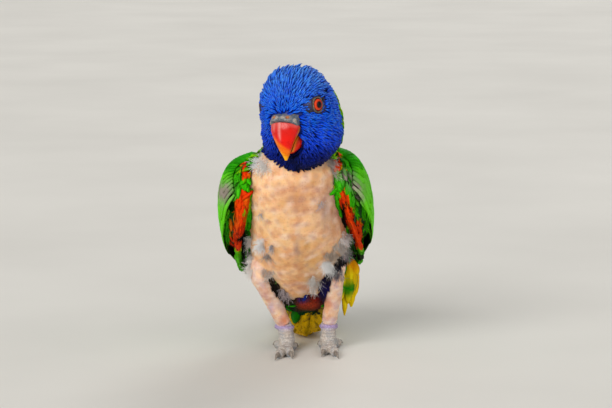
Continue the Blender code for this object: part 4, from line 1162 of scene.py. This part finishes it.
# Small feathers grow only where the wing's flesh isn't roofed by vanes: coverts on the
# shoulder, and the lining inside it. Its cut end and its lower outer face stay bare
for (side, word), seed in zip(SIDES, (75, 76)):
    vanes = bpy.data.objects["wing_feathers_" + word]
    vane_tree = tree_of(numbers_of(vanes.data)[0] - np.array(HOME), vanes.data)
    of_wing = of_nodes(face_owner, "wing_" + word)
    open_faces = np.zeros(len(face_owner), bool)
    for i in np.flatnonzero(of_wing & (face_centres[:, 1] < WING_SKIN_END - 0.002)):
        centre, normal = Vector(face_centres[i]), Vector(face_normals[i])
        open_faces[i] = vane_tree.ray_cast(centre + normal * 0.0002, normal, 0.005)[0] is None
    outwards = face_normals[:, 0] * side
    outer = (outwards > 0.40) & (face_centres[:, 2] < 0.080)
    outer |= (face_normals[:, 1] > 0.35) & (face_centres[:, 1] > WING_SKIN_END - 0.009)
    open_faces &= face_centres[:, 1] < 0.020
    lining = open_faces & (face_centres[:, 2] < 0.088) & (outwards < 0.75)
    coverts = body_plumage(
        "wing_coverts_" + word, open_faces & ~lining & ~outer, 0.62, 0.0060, 0.0031, 0.0015,
        shoulder_colours, seed, ragged=0.10, shading_along=(0.45, 0.65, 0.85, 1.0, 1.1, 1.15),
    )
    settle(coverts, green_keratin, "green_plumage")
    inside = body_plumage(
        "wing_lining_" + word, lining & ~outer, 0.55, 0.0085, 0.0030, 0.0008, shoulder_colours,
        seed + 10, ragged=0.05, way=(0.0, 0.50, -0.86), shading_along=(1.0, 1.0, 1.05, 1.1, 1.15, 1.15),
        uneven=0.1,
    )
    settle(inside, green_keratin, "green_plumage")

# The tail. Twelve long feathers, green above and olive-yellow below, lie over one another
# along the floor with the middle pair on top, and the coverts hide their roots.
TAIL_LENGTH = 0.122
TAIL_ROOT_Y = 0.0480
TAIL_SHORTENING = 0.0105
TAIL_WIDTH = 0.0122
TAIL_SPREAD = math.radians(1.1)
TAIL_X = 0.0030
TAIL_REST = 0.0003
TAIL_LAYER = 0.00024
TAIL_ROOT_LEVEL = 0.0150
TAIL_DROP = 0.064
TAIL_FEATHERS = 12
TAIL_STEPS = 20
t = np.linspace(0, 1, TAIL_STEPS)
shafts, widths, colours = [], [], []
rng = np.random.default_rng(81)
for layer in range(TAIL_FEATHERS):
    pair, side = layer // 2, 1 if layer % 2 == 0 else -1
    length = TAIL_LENGTH - TAIL_SHORTENING * pair
    behind = length * t
    out = side * ((behind + 0.016) * math.tan(TAIL_SPREAD * (pair + 0.35)) + 0.0006 * pair)
    packed = 1 - 0.8 * behind / TAIL_LENGTH
    rest = TAIL_REST + TAIL_LAYER * (TAIL_FEATHERS - 1 - layer) * packed
    level = rest + (TAIL_ROOT_LEVEL - TAIL_REST) * (1 - np.minimum(1, behind / TAIL_DROP)) ** 1.3
    shafts.append(np.stack([TAIL_X + out, TAIL_ROOT_Y + behind, level], axis=1))
    opening = np.clip(0.4 + 0.6 * t / 0.3, 0, 1)
    closing = 0.10 + 0.90 * rounded_tip(t, 0.5, 0.5, least=0.0)
    widths.append(TAIL_WIDTH * (1 - 0.03 * pair) * opening * closing)
    tone = mixed(all_over(t, "#2d8c12"), "#1c6a10", rng.random() * np.ones(TAIL_STEPS))
    colours.append(mixed(tone, "#7ea414", smoothstep(0.75, 1.0, t) * 0.6))
shafts, widths, colours = map(np.array, (shafts, widths, colours))
ups = np.tile(np.array((0, 0, 1.0)), (TAIL_FEATHERS, TAIL_STEPS, 1))
tail_feathers = plumage(
    "tail_feathers", shafts, ups, widths, FLIGHT_VANE_THICK, colours, places_on_map(shafts[:, 0]),
    BROAD * np.array((1, 0.25, 1)), shine=0.25, under=all_over(shafts, "#8a8a14"),
)
settle(tail_feathers, feather_green, "tail_plumage", "tail")


def tail_covert_colours(points, normals):
    """Green above and yellow below, with the vent's dark band running on to the front."""
    # The level of the line between the two, from the vent to the tail
    level = np.interp(points[:, 1], (0.02, 0.038, 0.050, 0.076), (0.036, 0.028, 0.0130, 0.0080))
    below = 1 - smoothstep(-0.001, 0.002, points[:, 2] - level)
    below = np.maximum(below, smoothstep(0.0, -0.3, normals[:, 1]))
    sides = smoothstep(0.006, 0.011, np.abs(points[:, 0] - TAIL_X)) * below
    ahead = (points[:, 1] < 0.030) & (normals[:, 1] < 0.4)
    upper = ahead * smoothstep(-53.5, -52.0, front_view(points)[1])
    return layered(
        all_over(points, LEAF),
        ("#e8b804", below),
        ("#a4a808", 0.6 * sides),
        ("#0c4a24", 0.85 * blot(points, 0.8, -52.0, 6.0, 1.6) * ahead),
        ("#16130e", np.clip(1.3 * spots_share(points, VENT_BAND) * upper, 0, 1)),
    )


tail_coverts = body_plumage(
    "tail_coverts_plumage", of_nodes(face_owner, "tail_coverts"), 0.34, 0.0135, 0.0050, 0.0015,
    tail_covert_colours, 84, ragged=0.05, way=(0.0, 0.93, -0.36),
    shading_along=(0.85, 0.9, 0.95, 1.0, 1.05, 1.08), uneven=0.06,
)
settle(tail_coverts, green_keratin, "covert_plumage", "tail_coverts")

# The flank's last feathers: a tuft of yellow body feathers that hangs beside the left leg.
FLANK_FEATHERS = (
    ((0.0165, 0.0130, 0.0440), (0.0178, 0.0150, 0.0215), "#ffc808"),
    ((0.0180, 0.0130, 0.0430), (0.0195, 0.0155, 0.0165), "#ffd008"),
    ((0.0200, 0.0135, 0.0435), (0.0225, 0.0160, 0.0145), "#f0cc0c"),
    ((0.0222, 0.0140, 0.0435), (0.0250, 0.0165, 0.0190), "#ffd806"),
    ((0.0240, 0.0145, 0.0430), (0.0268, 0.0170, 0.0255), "#ffc408"),
    ((0.0190, 0.0110, 0.0440), (0.0192, 0.0125, 0.0235), "#ffdc10"),
    ((0.0215, 0.0115, 0.0445), (0.0230, 0.0130, 0.0215), "#e8d010"),
    ((0.0238, 0.0120, 0.0440), (0.0258, 0.0140, 0.0270), "#ffd408"),
)
FLANK_COPIES = 5
FLANK_VANE_THICK = 0.00016
FLANK_WIDTH = 0.0046
FLANK_BOW = np.array((0.0012, -0.0016, 0))
rng = np.random.default_rng(91)
shafts, ups, widths, colours = [], [], [], []
t = np.linspace(0, 1, 9)
for root, tip, tone in FLANK_FEATHERS:
    for copy in range(FLANK_COPIES):
        shift = rng.normal(scale=(0.0009, 0.0007, 0.0006))
        start = np.array(root) + shift
        end = np.array(tip) + shift + rng.normal(scale=0.0008, size=3)
        end = end + (start - end) * 0.12 * copy
        bow = FLANK_BOW[None, :] * np.sin(math.pi * t)[:, None]
        shafts.append(start + (end - start) * t[:, None] + bow)
        facing = unit_rows(np.array((0.35 + 0.1 * rng.normal(), -0.93, 0.05)))
        ups.append(np.tile(facing, (len(t), 1)))
        kept = np.clip(0.6 + t, 0, 1) * rounded_tip(t, 0.55, 0.46)
        widths.append(FLANK_WIDTH * rng.uniform(0.8, 1.15) * kept)
        tint = ink(tone) * rng.uniform(0.8, 1.15)
        # Each is painted darker towards its root, as shade within the tuft
        colours.append(np.tile(tint, (len(t), 1)) * (0.75 + 0.4 * t[:, None]))
shafts, ups, widths, colours = map(np.array, (shafts, ups, widths, colours))
leaf_green = peak(shafts[..., 2], 0.0300, 0.0036) * peak(shafts[..., 0], 0.0226, 0.0034)
colours = layered(
    colours,
    ("#0c8004", np.clip(1.5 * leaf_green, 0, 1)),
    ("#ff9408", 0.7 * smoothstep(0.037, 0.042, shafts[..., 2])),
)
flank = plumage(
    "flank_feathers", shafts, ups, widths, FLANK_VANE_THICK, np.clip(colours, 0, 1),
    places_on_map(shafts[:, 0]), BROAD, shine=0.2,
)
yellow_keratin = feather_material("yellow_feather_keratin", 0.36, 0.04, 0.55, "#d0bc68")
settle(flank, yellow_keratin, "flank_plumage", "flank_feathers_left")

# The eyes. Wet eyeballs with a red-orange iris and a round black pupil under a clear
# bulging cornea. They sit in lids of bare grey-brown skin, drawn in fine folds.
EYE_RADIUS = 0.0045
CORNEA_BULGE = 0.035
CORNEA_REACH = 0.85  # radians from the middle of the pupil
LID_CORNERS = 56
LID_RING_CORNERS = 10
# Each eye's two folds of lid: radius, height over the eyeball's centre, and thickness
LID_FOLDS = ((0.0034, 0.0034, 0.00045), (0.0040, 0.0030, 0.00030))

# A wet eye: a smooth clear cornea over an iris of fine fibres, black in its pupil
iris_wet, tree, spot = new_material("wet_iris_and_cornea")
gaze = add_node(tree, "Attribute", {"attribute_name": "Gaze"}).outputs["Fac"]
fibres = add_node(tree, "TexNoise", Vector=spot, Scale=2600.0, Detail=3.0)
wander = add_node(tree, "Math", MULTIPLY_ADD, in_0=fibres, in_1=0.03, in_2=gaze)
stops = (
    (0.200, "#010101"),
    (0.225, "#6a1004"),
    (0.275, "#d8380a"),
    (0.36, "#ee4610"),
    (0.40, "#b02808"),
    (0.43, "#1a0c0a"),
)
iris = add_node(tree, "ValToRGB", stops=stops, Fac=wander)
close_material(
    tree,
    Base_Color=iris,
    Roughness=0.12,
    IOR=1.38,
    Coat_Weight=0.35,
    Coat_Roughness=0.02,
    Specular_IOR_Level=0.1,
)


def new_piece(name, shaped):
    """A smooth piece from a bmesh, with its faces turned outwards."""
    bmesh.ops.recalc_face_normals(shaped, faces=shaped.faces)
    obj = new_object(name, shaped)
    obj.data.shade_smooth()
    return obj


def eye_frame(side):
    """Turns +Z into the way an eye looks, about the eyeball's centre."""
    turn = on_side(EYE_AXIS, side).to_track_quat("Z", "Y").to_matrix().to_4x4()
    return FACE @ Matrix.Translation(on_side(EYE_PLACE, side)) @ turn


for side, word in SIDES:
    ball = bmesh.new()
    bmesh.ops.create_uvsphere(ball, u_segments=48, v_segments=40, radius=EYE_RADIUS)
    angles = [math.acos(max(-1, min(1, v.co.z / EYE_RADIUS))) for v in ball.verts]
    for vert, angle in zip(ball.verts, angles):
        near_pupil = max(0.0, math.cos(min(angle / CORNEA_REACH, 1.0) * math.pi / 2))
        vert.co *= 1 + CORNEA_BULGE * near_pupil
    eye = new_piece("eyeball_" + word, ball)
    layer = eye.data.attributes.new("Gaze", "FLOAT", "POINT")
    layer.data.foreach_set("value", np.array(angles, np.float32) / (math.pi / 2))
    eye.data.transform(eye_frame(side))
    settle(eye, iris_wet, "eye", "eye_" + word)


def skin_of_rings(rings, closed=False):
    """A bmesh skin through rings of points: each ring is drawn and bridged to the last."""
    shaped, loops = bmesh.new(), []
    for ring in rings:
        made = bmesh.ops.create_circle(shaped, segments=len(ring), radius=1.0)["verts"]
        for vert, place in zip(made, ring):
            vert.co = place
        loops.append(list({e for v in made for e in v.link_edges}))
    pairs = list(zip(loops[:-1], loops[1:])) + ([(loops[-1], loops[0])] if closed else [])
    for first, second in pairs:
        bmesh.ops.bridge_loops(shaped, edges=first + second)
    if not closed:
        bmesh.ops.holes_fill(shaped, edges=[e for e in shaped.edges if e.is_boundary], sides=0)
    return shaped


def grained_material(name, grain, stops, painted=0.0, relief=None, sunk=False, **sockets):
    """A material with one fine pattern. grain is its texture and that one's settings, stops
    are its tones, and painted is how far they tint the piece's own paint. relief is its
    bump's strength and depth."""
    made, tree, spot = new_material(name)
    pattern = add_node(tree, grain[0], Vector=spot, **grain[1])
    tone = add_node(tree, "ValToRGB", stops=stops, Fac=pattern)
    if painted:
        coat = add_node(tree, "Attribute", PAINT)
        tone = add_node(tree, "Mix", TINT, in_0=painted, in_6=coat, in_7=tone)
    if relief:
        strength, depth = relief
        sockets["Normal"] = add_node(
            tree, "Bump", {"invert": sunk}, Strength=strength, Distance=depth, Height=pattern
        )
    close_material(tree, Base_Color=tone, **sockets)
    return made


# Bare eyelid skin: matt, grey-brown, drawn in folds round the eye
lid_skin = grained_material(
    "bare_eyelid_skin", ("TexNoise", {"Scale": 1900.0, "Detail": 4.0}),
    ((0.3, "#3c3430"), (0.5, "#64594f"), (0.7, "#8a7d72")), relief=(0.6, 0.0002),
    Roughness=0.55, IOR=1.4,
)
for side, word in SIDES:
    lids = bmesh.new()
    for reach, height, thick in LID_FOLDS:
        rings = []
        for i in range(LID_CORNERS):
            angle = 2 * math.pi * i / LID_CORNERS
            wide = 0.90 + 0.02 * math.cos(7 * angle)
            out = Vector((math.cos(angle) * wide, math.sin(angle) * 1.03, 0))
            swell = thick * (1 + 0.06 * math.sin(13 * angle + reach * 4000))
            ring = []
            for k in range(LID_RING_CORNERS):
                tilt = 2 * math.pi * k / LID_RING_CORNERS
                level = Vector((0, 0, height + swell * math.sin(tilt)))
                ring.append(out * (reach + swell * math.cos(tilt)) + level)
            rings.append(ring)
        add_part(lids, skin_of_rings(rings, closed=True))
    lid = new_piece("eyelids_" + word, lids)
    lid.data.transform(eye_frame(side))
    settle(lid, lid_skin, "cere_skin")

# The bill. Hard polished keratin over bone, red at the base and orange-yellow at the
# hooked tip. The upper half closes over the lower one, and a soft grey cere with the
# nostrils joins it to the face.
UPPER_BILL_ROWS = (
    (0.0130, -0.0008, 0.0073, 0.0050, 0.0054),
    (0.0142, -0.0032, 0.0068, 0.0044, 0.0058),
    (0.0148, -0.0061, 0.0055, 0.0036, 0.0054),
    (0.0150, -0.0090, 0.0041, 0.0029, 0.0042),
    (0.0148, -0.0120, 0.0028, 0.0022, 0.0028),
    (0.0146, -0.0144, 0.0016, 0.0014, 0.0015),
    (0.0148, -0.0166, 0.0005, 0.0005, 0.0005),
)
LOWER_BILL_ROWS = (
    (0.0015, -0.0035, 0.0056, 0.0038, 0.0040),
    (0.0050, -0.0062, 0.0064, 0.0040, 0.0042),
    (0.0080, -0.0088, 0.0061, 0.0036, 0.0038),
    (0.0101, -0.0112, 0.0046, 0.0026, 0.0028),
    (0.0116, -0.0132, 0.0024, 0.0014, 0.0014),
)
BILL_CORNERS = 48
BILL_ASIDE = 0.0006  # the bill stands this far to its left, as in the photograph


def bill_rings(rows, count):
    """Rings across the bill's bent line, with a flat-sided section and a ridge on top."""
    rows = smooth_rows(rows, count)
    line = np.column_stack([np.full(len(rows), BILL_ASIDE), -rows[:, 0], rows[:, 1]])
    along = np.gradient(line, axis=0)
    rings = []
    for centre, tangent, row in zip(line, along, rows):
        rise = unit_rows(np.cross(unit_rows(tangent), (1.0, 0, 0)))
        rise = rise if rise[2] - rise[1] > 0 else -rise
        ring = []
        for k in range(BILL_CORNERS):
            angle = 2 * math.pi * k / BILL_CORNERS
            up, across = math.sin(angle), math.cos(angle)
            aside = math.copysign(abs(across) ** (1.25 if up > 0 else 1.0), across) * row[2]
            tall = row[3] if up > 0 else row[4]
            ring.append(Vector(centre + np.array((aside, 0, 0)) + rise * up * tall))
        rings.append(ring)
    return rings


# Bill keratin: polished horn with faint growth lines, which light enters a little
horn, tree, spot = new_material("polished_bill_keratin")
coat = add_node(tree, "Attribute", PAINT)
growth = add_node(tree, "TexNoise", Vector=spot, Scale=500.0, Detail=5.0, Roughness=0.6)
tone = add_node(tree, "ValToRGB", stops=((0.3, "#d8b8ac"), (0.55, "#ffffff")), Fac=growth)
worn = add_node(tree, "Mix", TINT, in_0=0.5, in_6=coat, in_7=tone)
dull = add_node(tree, "MapRange", Value=growth, To_Min=0.16, To_Max=0.42)
bump = add_node(tree, "Bump", Strength=0.12, Distance=0.0001, Height=growth)
close_material(
    tree,
    Base_Color=worn,
    Roughness=dull,
    IOR=1.54,
    Subsurface_Weight=0.05,
    Subsurface_Radius=(0.002, 0.0006, 0.0003),
    Subsurface_Scale=1.0,
    Specular_IOR_Level=0.15,
    Coat_Weight=0.1,
    Coat_Roughness=0.06,
    Normal=bump,
)
upper = new_piece("upper_bill", skin_of_rings(bill_rings(UPPER_BILL_ROWS, 40)))
at, _, _ = numbers_of(upper.data)
upper_tree = tree_of(at, upper.data)
down = np.clip((0.0005 - at[:, 2]) / 0.0165, 0, 1)
aside = np.clip((at[:, 0] - BILL_ASIDE) / 0.004, -1, 1)
orange = down - 0.22 * aside
# A pale pink haze near the cere: partly powder on the keratin and partly painted highlight
powder_and_highlight = 1 - smoothstep(0.02, 0.18, down + 0.05 * soft_noise(at, 0.004, 85))
# The ridge on top and a fainter one at its side are painted with a pale highlight, where they
# catch the light. corner is in degrees
corner = np.arange(len(at)) % BILL_CORNERS * 360.0 / BILL_CORNERS
ridge = peak(corner, 96, 9)
ridge += 0.5 * peak(corner, 128, 6) * (1 - smoothstep(0.1, 0.3, down))
colours = layered(
    all_over(at, "#d8180e"),
    ("#f01404", smoothstep(0.1, 0.5, down)),
    ("#f8a8a0", 0.18 * powder_and_highlight),
    ("#ffd0c8", np.clip(0.38 * ridge * (1 - smoothstep(0.30, 0.55, down)), 0, 1)),
    ("#ff7a02", smoothstep(0.50, 0.66, orange)),
    ("#ffb404", smoothstep(0.74, 0.98, orange)),
)
for rim in (-14, 194):
    across_rim = (corner - rim + 180) % 360 - 180
    colours = mixed(colours, "#f6a01c", 0.9 * peak(across_rim, 0, 8) * (down > 0.12))
paint(upper.data, np.clip(colours, 0, 1))
upper.data.transform(FACE)
settle(upper, horn, "red_bill", "bill_upper")
lower = new_piece("lower_bill", skin_of_rings(bill_rings(LOWER_BILL_ROWS, 60)))
at, _, _ = numbers_of(lower.data)
gape = np.array([upper_tree.find_nearest(Vector(p))[3] for p in at])
# Orange towards the tip, a gold rim near the upper half, and near-black painted shade where the
# lower half tucks under the upper one
colours = layered(
    all_over(at, "#e0200a"),
    ("#ff6a08", 0.8 * smoothstep(-0.0105, -0.0135, at[:, 1])),
    ("#ffb030", 0.9 * peak(gape, 0.0011, 0.0003)),
    ("#140402", 1 - smoothstep(0.0005, 0.0009, gape)),
)
paint(lower.data, colours)
lower.data.transform(FACE)
settle(lower, horn, "red_bill", "bill_lower")


def fine_copy(node, name, voxel, swell=0.0):
    """A CAD node's form as one even mesh, eased and fine enough to carve relief in."""
    part = copy_of_node(node)
    part.normal_update()
    for vert in part.verts:
        vert.co += vert.normal * swell
    piece = new_piece(name, part)
    make_even(piece, voxel)
    points, _, edges = numbers_of(piece.data)
    move_to(piece.data, spread(points, edges, 3))
    piece.data.shade_smooth()
    return piece


# Cere skin: soft, grey and finely wrinkled, darker in its folds as painted shade, and rusty in the
# nostrils
cere_skin = grained_material(
    "soft_cere_skin", ("TexNoise", {"Scale": 1500.0, "Detail": 5.0, "Roughness": 0.6}),
    ((0.35, "#8c8078"), (0.6, "#ffffff")), painted=0.7, relief=(0.5, 0.00015),
    Roughness=0.5, IOR=1.4, Subsurface_Weight=0.08, Subsurface_Scale=1.0,
    Subsurface_Radius=(0.001, 0.0005, 0.0003),
)
cere = fine_copy("cere", "cere_skin_piece", 0.00022)
points, normals, _ = numbers_of(cere.data)
at = to_face(points)
nostrils = [np.array((0.0034 * side, -0.0168, 0.0040)) for side in (1, -1)]
nostril = np.minimum(*[np.linalg.norm(at - middle, axis=1) for middle in nostrils])
rim = peak(nostril, 0.0014, 0.00045)
pit = 1 - smoothstep(0.0, 0.0009, nostril)
at = to_face(points + normals * (0.00026 * rim - 0.0009 * pit)[:, None])
over = np.clip(at[:, 2] - 0.0040, 0, 1)
at[:, 0] = at[:, 0] * 1.06 + 0.0005
at[:, 2] -= over * 0.55
at[:, 1] += over * 0.25
move_to(cere.data, turned(FACE, at))
colours = layered(
    all_over(at, "#6a7682"),
    ("#b8aca0", patches(at, 0.0026, 86)),
    # a paler ring on the nostrils' raised rims, as painted highlight
    ("#b4aca4", 0.6 * peak(nostril, 0.0016, 0.0004)),
    ("#c87430", 1 - smoothstep(0.0007, 0.0012, nostril)),
    # near-black painted shade deep in each nostril
    ("#3c1c0c", 1 - smoothstep(0.0002, 0.0007, nostril)),
)
paint(cere.data, colours)
settle(cere, cere_skin, "cere_skin", "cere")

# The feet. Loose grey-beige skin with broad scutes across the top of each toe and small
# round scales beside them, over soft pads. Horny curved claws end the toes.
BALL = {"right": (-0.0066, 0.0015, 0.0042), "left": (0.0138, 0.0055, 0.0042)}
FOOT_TURN = {"right": 4.0, "left": 2.0}
TOES = ((-15.0, 0.0100), (12.0, 0.0135), (153.0, 0.0120), (-158.0, 0.0085))  # degrees, length
TOE_TOP = 0.0062
SCUTE = 0.00125  # from one scute of a toe to the next
SCUTE_RISE = 0.00017
CUFF_LEVEL = 0.0112

# Foot skin: dry keratin scales, flat and matt, with dark seams between them
foot_skin = grained_material(
    "scaled_foot_skin", ("TexVoronoi", {"Scale": 1500.0}), ((0.1, "#ffffff"), (0.6, "#a89c94")),
    painted=0.6, relief=(0.5, 0.00015), sunk=True, Roughness=0.55, IOR=1.45,
    Subsurface_Weight=0.06, Subsurface_Radius=(0.001, 0.0005, 0.0004), Subsurface_Scale=1.0,
)
for side, word in SIDES:
    foot = fine_copy("foot_" + word, "foot_skin_" + word, 0.00036, swell=0.0001)
    points, normals, _ = numbers_of(foot.data)
    level = points[:, 2]
    off = points - np.array(BALL[word])
    # How far along its nearest toe each point lies
    along, best = np.full(len(points), 9.0), np.full(len(points), 9.0)
    for angle, length in TOES:
        turn = math.radians(angle + FOOT_TURN[word])
        heading = np.array((math.sin(turn) * side, -math.cos(turn), 0))
        run = off @ heading
        gap = np.linalg.norm(off - np.clip(run, 0, length)[:, None] * heading, axis=1)
        nearer = gap < best
        best[nearer], along[nearer] = gap[nearer], run[nearer]
    # Scutes cross the tops of the toes and the shin's front, with grains beside them
    on_toe = level < TOE_TOP
    run = np.where(on_toe, along, level * 1.05)
    plate = np.abs(np.sin(math.pi * run / SCUTE)) ** 0.55
    top = smoothstep(-0.1, 0.4, np.where(on_toe, normals[:, 2], -normals[:, 1]))
    grains = 0.5 + 0.5 * soft_noise(points, 0.0009, 95)
    height = SCUTE_RISE * plate * top + 0.00010 * grains * (1 - top)
    # Flat under the pads, fuller at the ankle, with a loose cuff of skin above it
    height *= smoothstep(0.0003, 0.0012, level)
    height += 0.0006 * smoothstep(0.001, 0.004, level) * (1 - smoothstep(0.008, 0.012, level))
    cuff = peak(level, CUFF_LEVEL, 0.0011)
    height += (0.0011 + 0.0002 * soft_noise(points, 0.0022, 97)) * cuff
    swollen = points + normals * (height - 0.00008)[:, None]
    swollen[:, 2] = np.maximum(swollen[:, 2], 0.0)
    move_to(foot.data, swollen)
    colours = layered(
        all_over(swollen, "#cfc4b8"),
        ("#a3adba", 0.45 + 0.45 * soft_noise(swollen, 0.006, 96)),
        ("#ece4d8", 0.6 * plate * top),
        ("#6e665f", 0.6 * (1 - smoothstep(0.0, 0.45, plate)) * top),
        ("#b8a0dc", 0.85 * cuff),
    )
    paint(foot.data, colours)
    settle(foot, foot_skin, "foot_scales", "foot_" + word)

# Claw horn: dark grey-brown keratin, a little glossy, paler at the quick
claw_horn = grained_material(
    "claw_horn", ("TexNoise", {"Scale": 1200.0, "Detail": 4.0}),
    ((0.3, "#5a5149"), (0.5, "#8a8076"), (0.75, "#b0a598")), relief=(0.15, 0.0001),
    Roughness=0.32, IOR=1.54,
)
for word in ("left", "right"):
    for toe in ("inner_front", "outer_front", "outer_back", "inner_back"):
        name = f"claw_{toe}_{word}"
        claw = new_piece(name + "_horn", copy_of_node(name))
        round_off = claw.modifiers.new("round", "SUBSURF")
        round_off.levels = round_off.render_levels = 2
        settle(claw, claw_horn, "claw", name)

# Down. White and grey wisps of down stand in tufts on the flanks, shoulders and thighs.
DOWN_SPOTS = (
    (-24.0, 19.5, 3.0, 3.0, 0.85, "#ffffff"),
    (-20.0, 18.0, 2.6, 2.4, 0.5, "#fff6ee"),
    (11.5, 20.5, 2.6, 2.2, 0.35, "#c8b8b0"),
    (14.5, 17.0, 1.8, 3.4, 0.3, "#c4b0a8"),
    (-29.0, -17.5, 1.8, 2.0, 0.9, "#ffffff"),
    (-21.5, -19.5, 2.0, 2.2, 0.8, "#ffffff"),
    (-18.5, -24.5, 1.2, 1.4, 0.4, "#8a7e76"),
    (-29.5, -25.5, 1.6, 1.8, 0.85, "#fffaf6"),
    (-29.0, -31.0, 1.8, 2.2, 0.8, "#fbf4ee"),
    (-16.2, -19.8, 0.9, 1.2, 0.4, "#908c94"),
    (18.5, -16.5, 2.4, 2.2, 0.6, "#f4f0f0"),
    (16.0, -20.5, 2.8, 2.2, 0.45, "#bcb4ac"),
    (12.0, -24.0, 3.0, 2.2, 0.40, "#b09c88"),
    (20.5, -24.5, 2.2, 2.2, 0.45, "#8c8490"),
    (9.8, -30.0, 2.6, 2.2, 0.95, "#ffffff"),
    (14.0, -33.0, 2.6, 2.6, 0.40, "#5a5260"),
    (3.4, -38.0, 1.8, 3.6, 0.35, "#d0cac4"),
    (-18.5, -33.5, 1.8, 1.8, 0.5, "#cfc0b4"),
    (-10.5, -42.5, 1.6, 2.4, 0.5, "#a8969a"),
    (-22.0, -5.0, 0.8, 0.9, 0.4, "#a8b0b8"),
    (7.0, -0.5, 0.9, 1.6, 0.3, "#a8a4ac"),
)
BARB = np.array(((-1, 0, 0), (0, 0, 1), (1, 0, 0)))
BARB_THICK = 0.00009
BARB_LENGTH = 0.0026
BARBS_IN_TUFT = 20
BARB_WIDTHS = (0.00008, 0.00014)
TUFTS_TO_AREA = 7.5  # tufts on a spot whose radii, in mm, multiply to 1
flesh_faces = of_nodes(face_owner, "neck", "torso", "shin_left", "shin_right")
flesh_faces &= facing_front(face_normals) > 0.02


def down_wisps(name, spots, seed):
    """Down on some spots of the front view. Each tuft is a bunch of fine curling barbs."""
    rng = np.random.default_rng(seed)
    roots, ways, tints, places = [], [], [], []
    barbs = (BARBS_IN_TUFT, 3)
    for across, height, wide, tall, share, tone in spots:
        inside = (blot(face_centres, across, height, wide, tall) * flesh_faces) ** 1.5
        count = max(2, int(TUFTS_TO_AREA * share * wide * tall))
        for face in rng.choice(len(inside), count, p=inside / inside.sum()):
            normal = soft_normals[face_corner[face]]
            lean = 0.3 * normal + np.array((0, -0.1, -0.5)) + rng.normal(scale=0.45, size=3)
            start = face_centres[face] + rng.normal(scale=0.00045, size=barbs) - normal * 0.0003
            roots.append(start)
            spreading = unit_rows(lean) + 0.4 * normal + rng.normal(scale=0.27, size=barbs)
            ways.append(unit_rows(spreading))
            tints.append(np.tile(ink(tone) * rng.uniform(0.85, 1.1), (BARBS_IN_TUFT, 1)))
            places.append(np.tile(face_uvs[face], (BARBS_IN_TUFT, 1)))
    roots, ways, tints, places = map(np.concatenate, (roots, ways, tints, places))
    count = len(roots)
    t = np.linspace(0, 1, 5)[None, :, None]
    reach = BARB_LENGTH * rng.uniform(0.45, 1.2, (count, 1, 1))
    curl = rng.normal(scale=0.9, size=(count, 1, 3)) + np.array((0, 0, -0.35))
    shafts = roots[:, None, :] + reach * (ways[:, None, :] * t + curl * t**2 * 0.5)
    ups = unit_rows(np.cross(ways, rng.normal(size=(count, 3))))[:, None, :] * np.ones((1, 5, 1))
    widths = per_step(rng.uniform(*BARB_WIDTHS, count), (1, 0.95, 0.85, 0.7, 0.3))
    # Each barb is painted darker towards its root, as shade inside the tuft
    shading_along = np.array((0.8, 0.95, 1.0, 1.05, 1.1))
    coloured = np.clip(tints[:, None, :] * shading_along[None, :, None], 0, 1)
    return plumage(name, shafts, ups, widths, BARB_THICK, coloured, places, BARB)


# Down: loose soft barbs with no hooks, matt, with a soft bright edge
down_stuff = grained_material(
    "loose_down_barbs", ("TexNoise", {"Scale": 900.0, "Detail": 3.0}),
    ((0.3, "#f0ece8"), (0.6, "#ffffff")), painted=0.6,
    Roughness=0.8, Sheen_Weight=0.7, Sheen_Roughness=0.6, Specular_IOR_Level=0.2,
)
for number, spots in enumerate((DOWN_SPOTS[:10], DOWN_SPOTS[10:])):
    tufts = down_wisps(f"down_tufts_{number}", spots, 102 + number)
    settle(tufts, down_stuff, "flank_plumage")

# The vent's band. Short dark feathers round the thighs' inner sides, with the last red,
# blue and green ones in the middle.
VENT_TINTS = (
    (1.2, -48.4, 5.4, 2.0, "#a83c22"),
    (4.6, -45.6, 1.8, 1.6, "#8a2410"),
    (-1.8, -45.4, 2.0, 1.5, "#14287c"),
    (0.8, -52.6, 5.0, 1.7, "#0a4420"),
    (-6.5, -49.5, 2.0, 3.0, "#14301a"),
    (9.0, -41.5, 3.0, 4.0, "#1c1650"),
    (16.5, -33.5, 2.4, 3.4, "#1c2440"),
)


def vent_colours(points, _):
    brown = np.clip(0.8 * soft_noise(points, 0.004, 111), 0, 1)
    colours = mixed(all_over(points, "#191410"), "#4a3c30", brown)
    for across, height, wide, tall, tone in VENT_TINTS:
        share = np.clip(1.4 * blot(points, across, height, wide, tall), 0, 1)
        colours = mixed(colours, tone, share)
    return colours


vent_faces = of_nodes(face_owner, "torso", "tail_coverts") & (face_normals[:, 1] < 0.4)
vent_faces &= spots_share(face_centres, VENT_BAND) > 0.42
vent_coat = body_plumage(
    "vent_plumage", vent_faces, 0.9, 0.0036, 0.0017, 0.0009, vent_colours, 112, ragged=0.4,
    way=(0.0, 0.2, -0.98), shading_along=(0.6, 0.75, 0.9, 1.0, 1.05, 1.1),
)
settle(vent_coat, green_keratin, "covert_plumage")
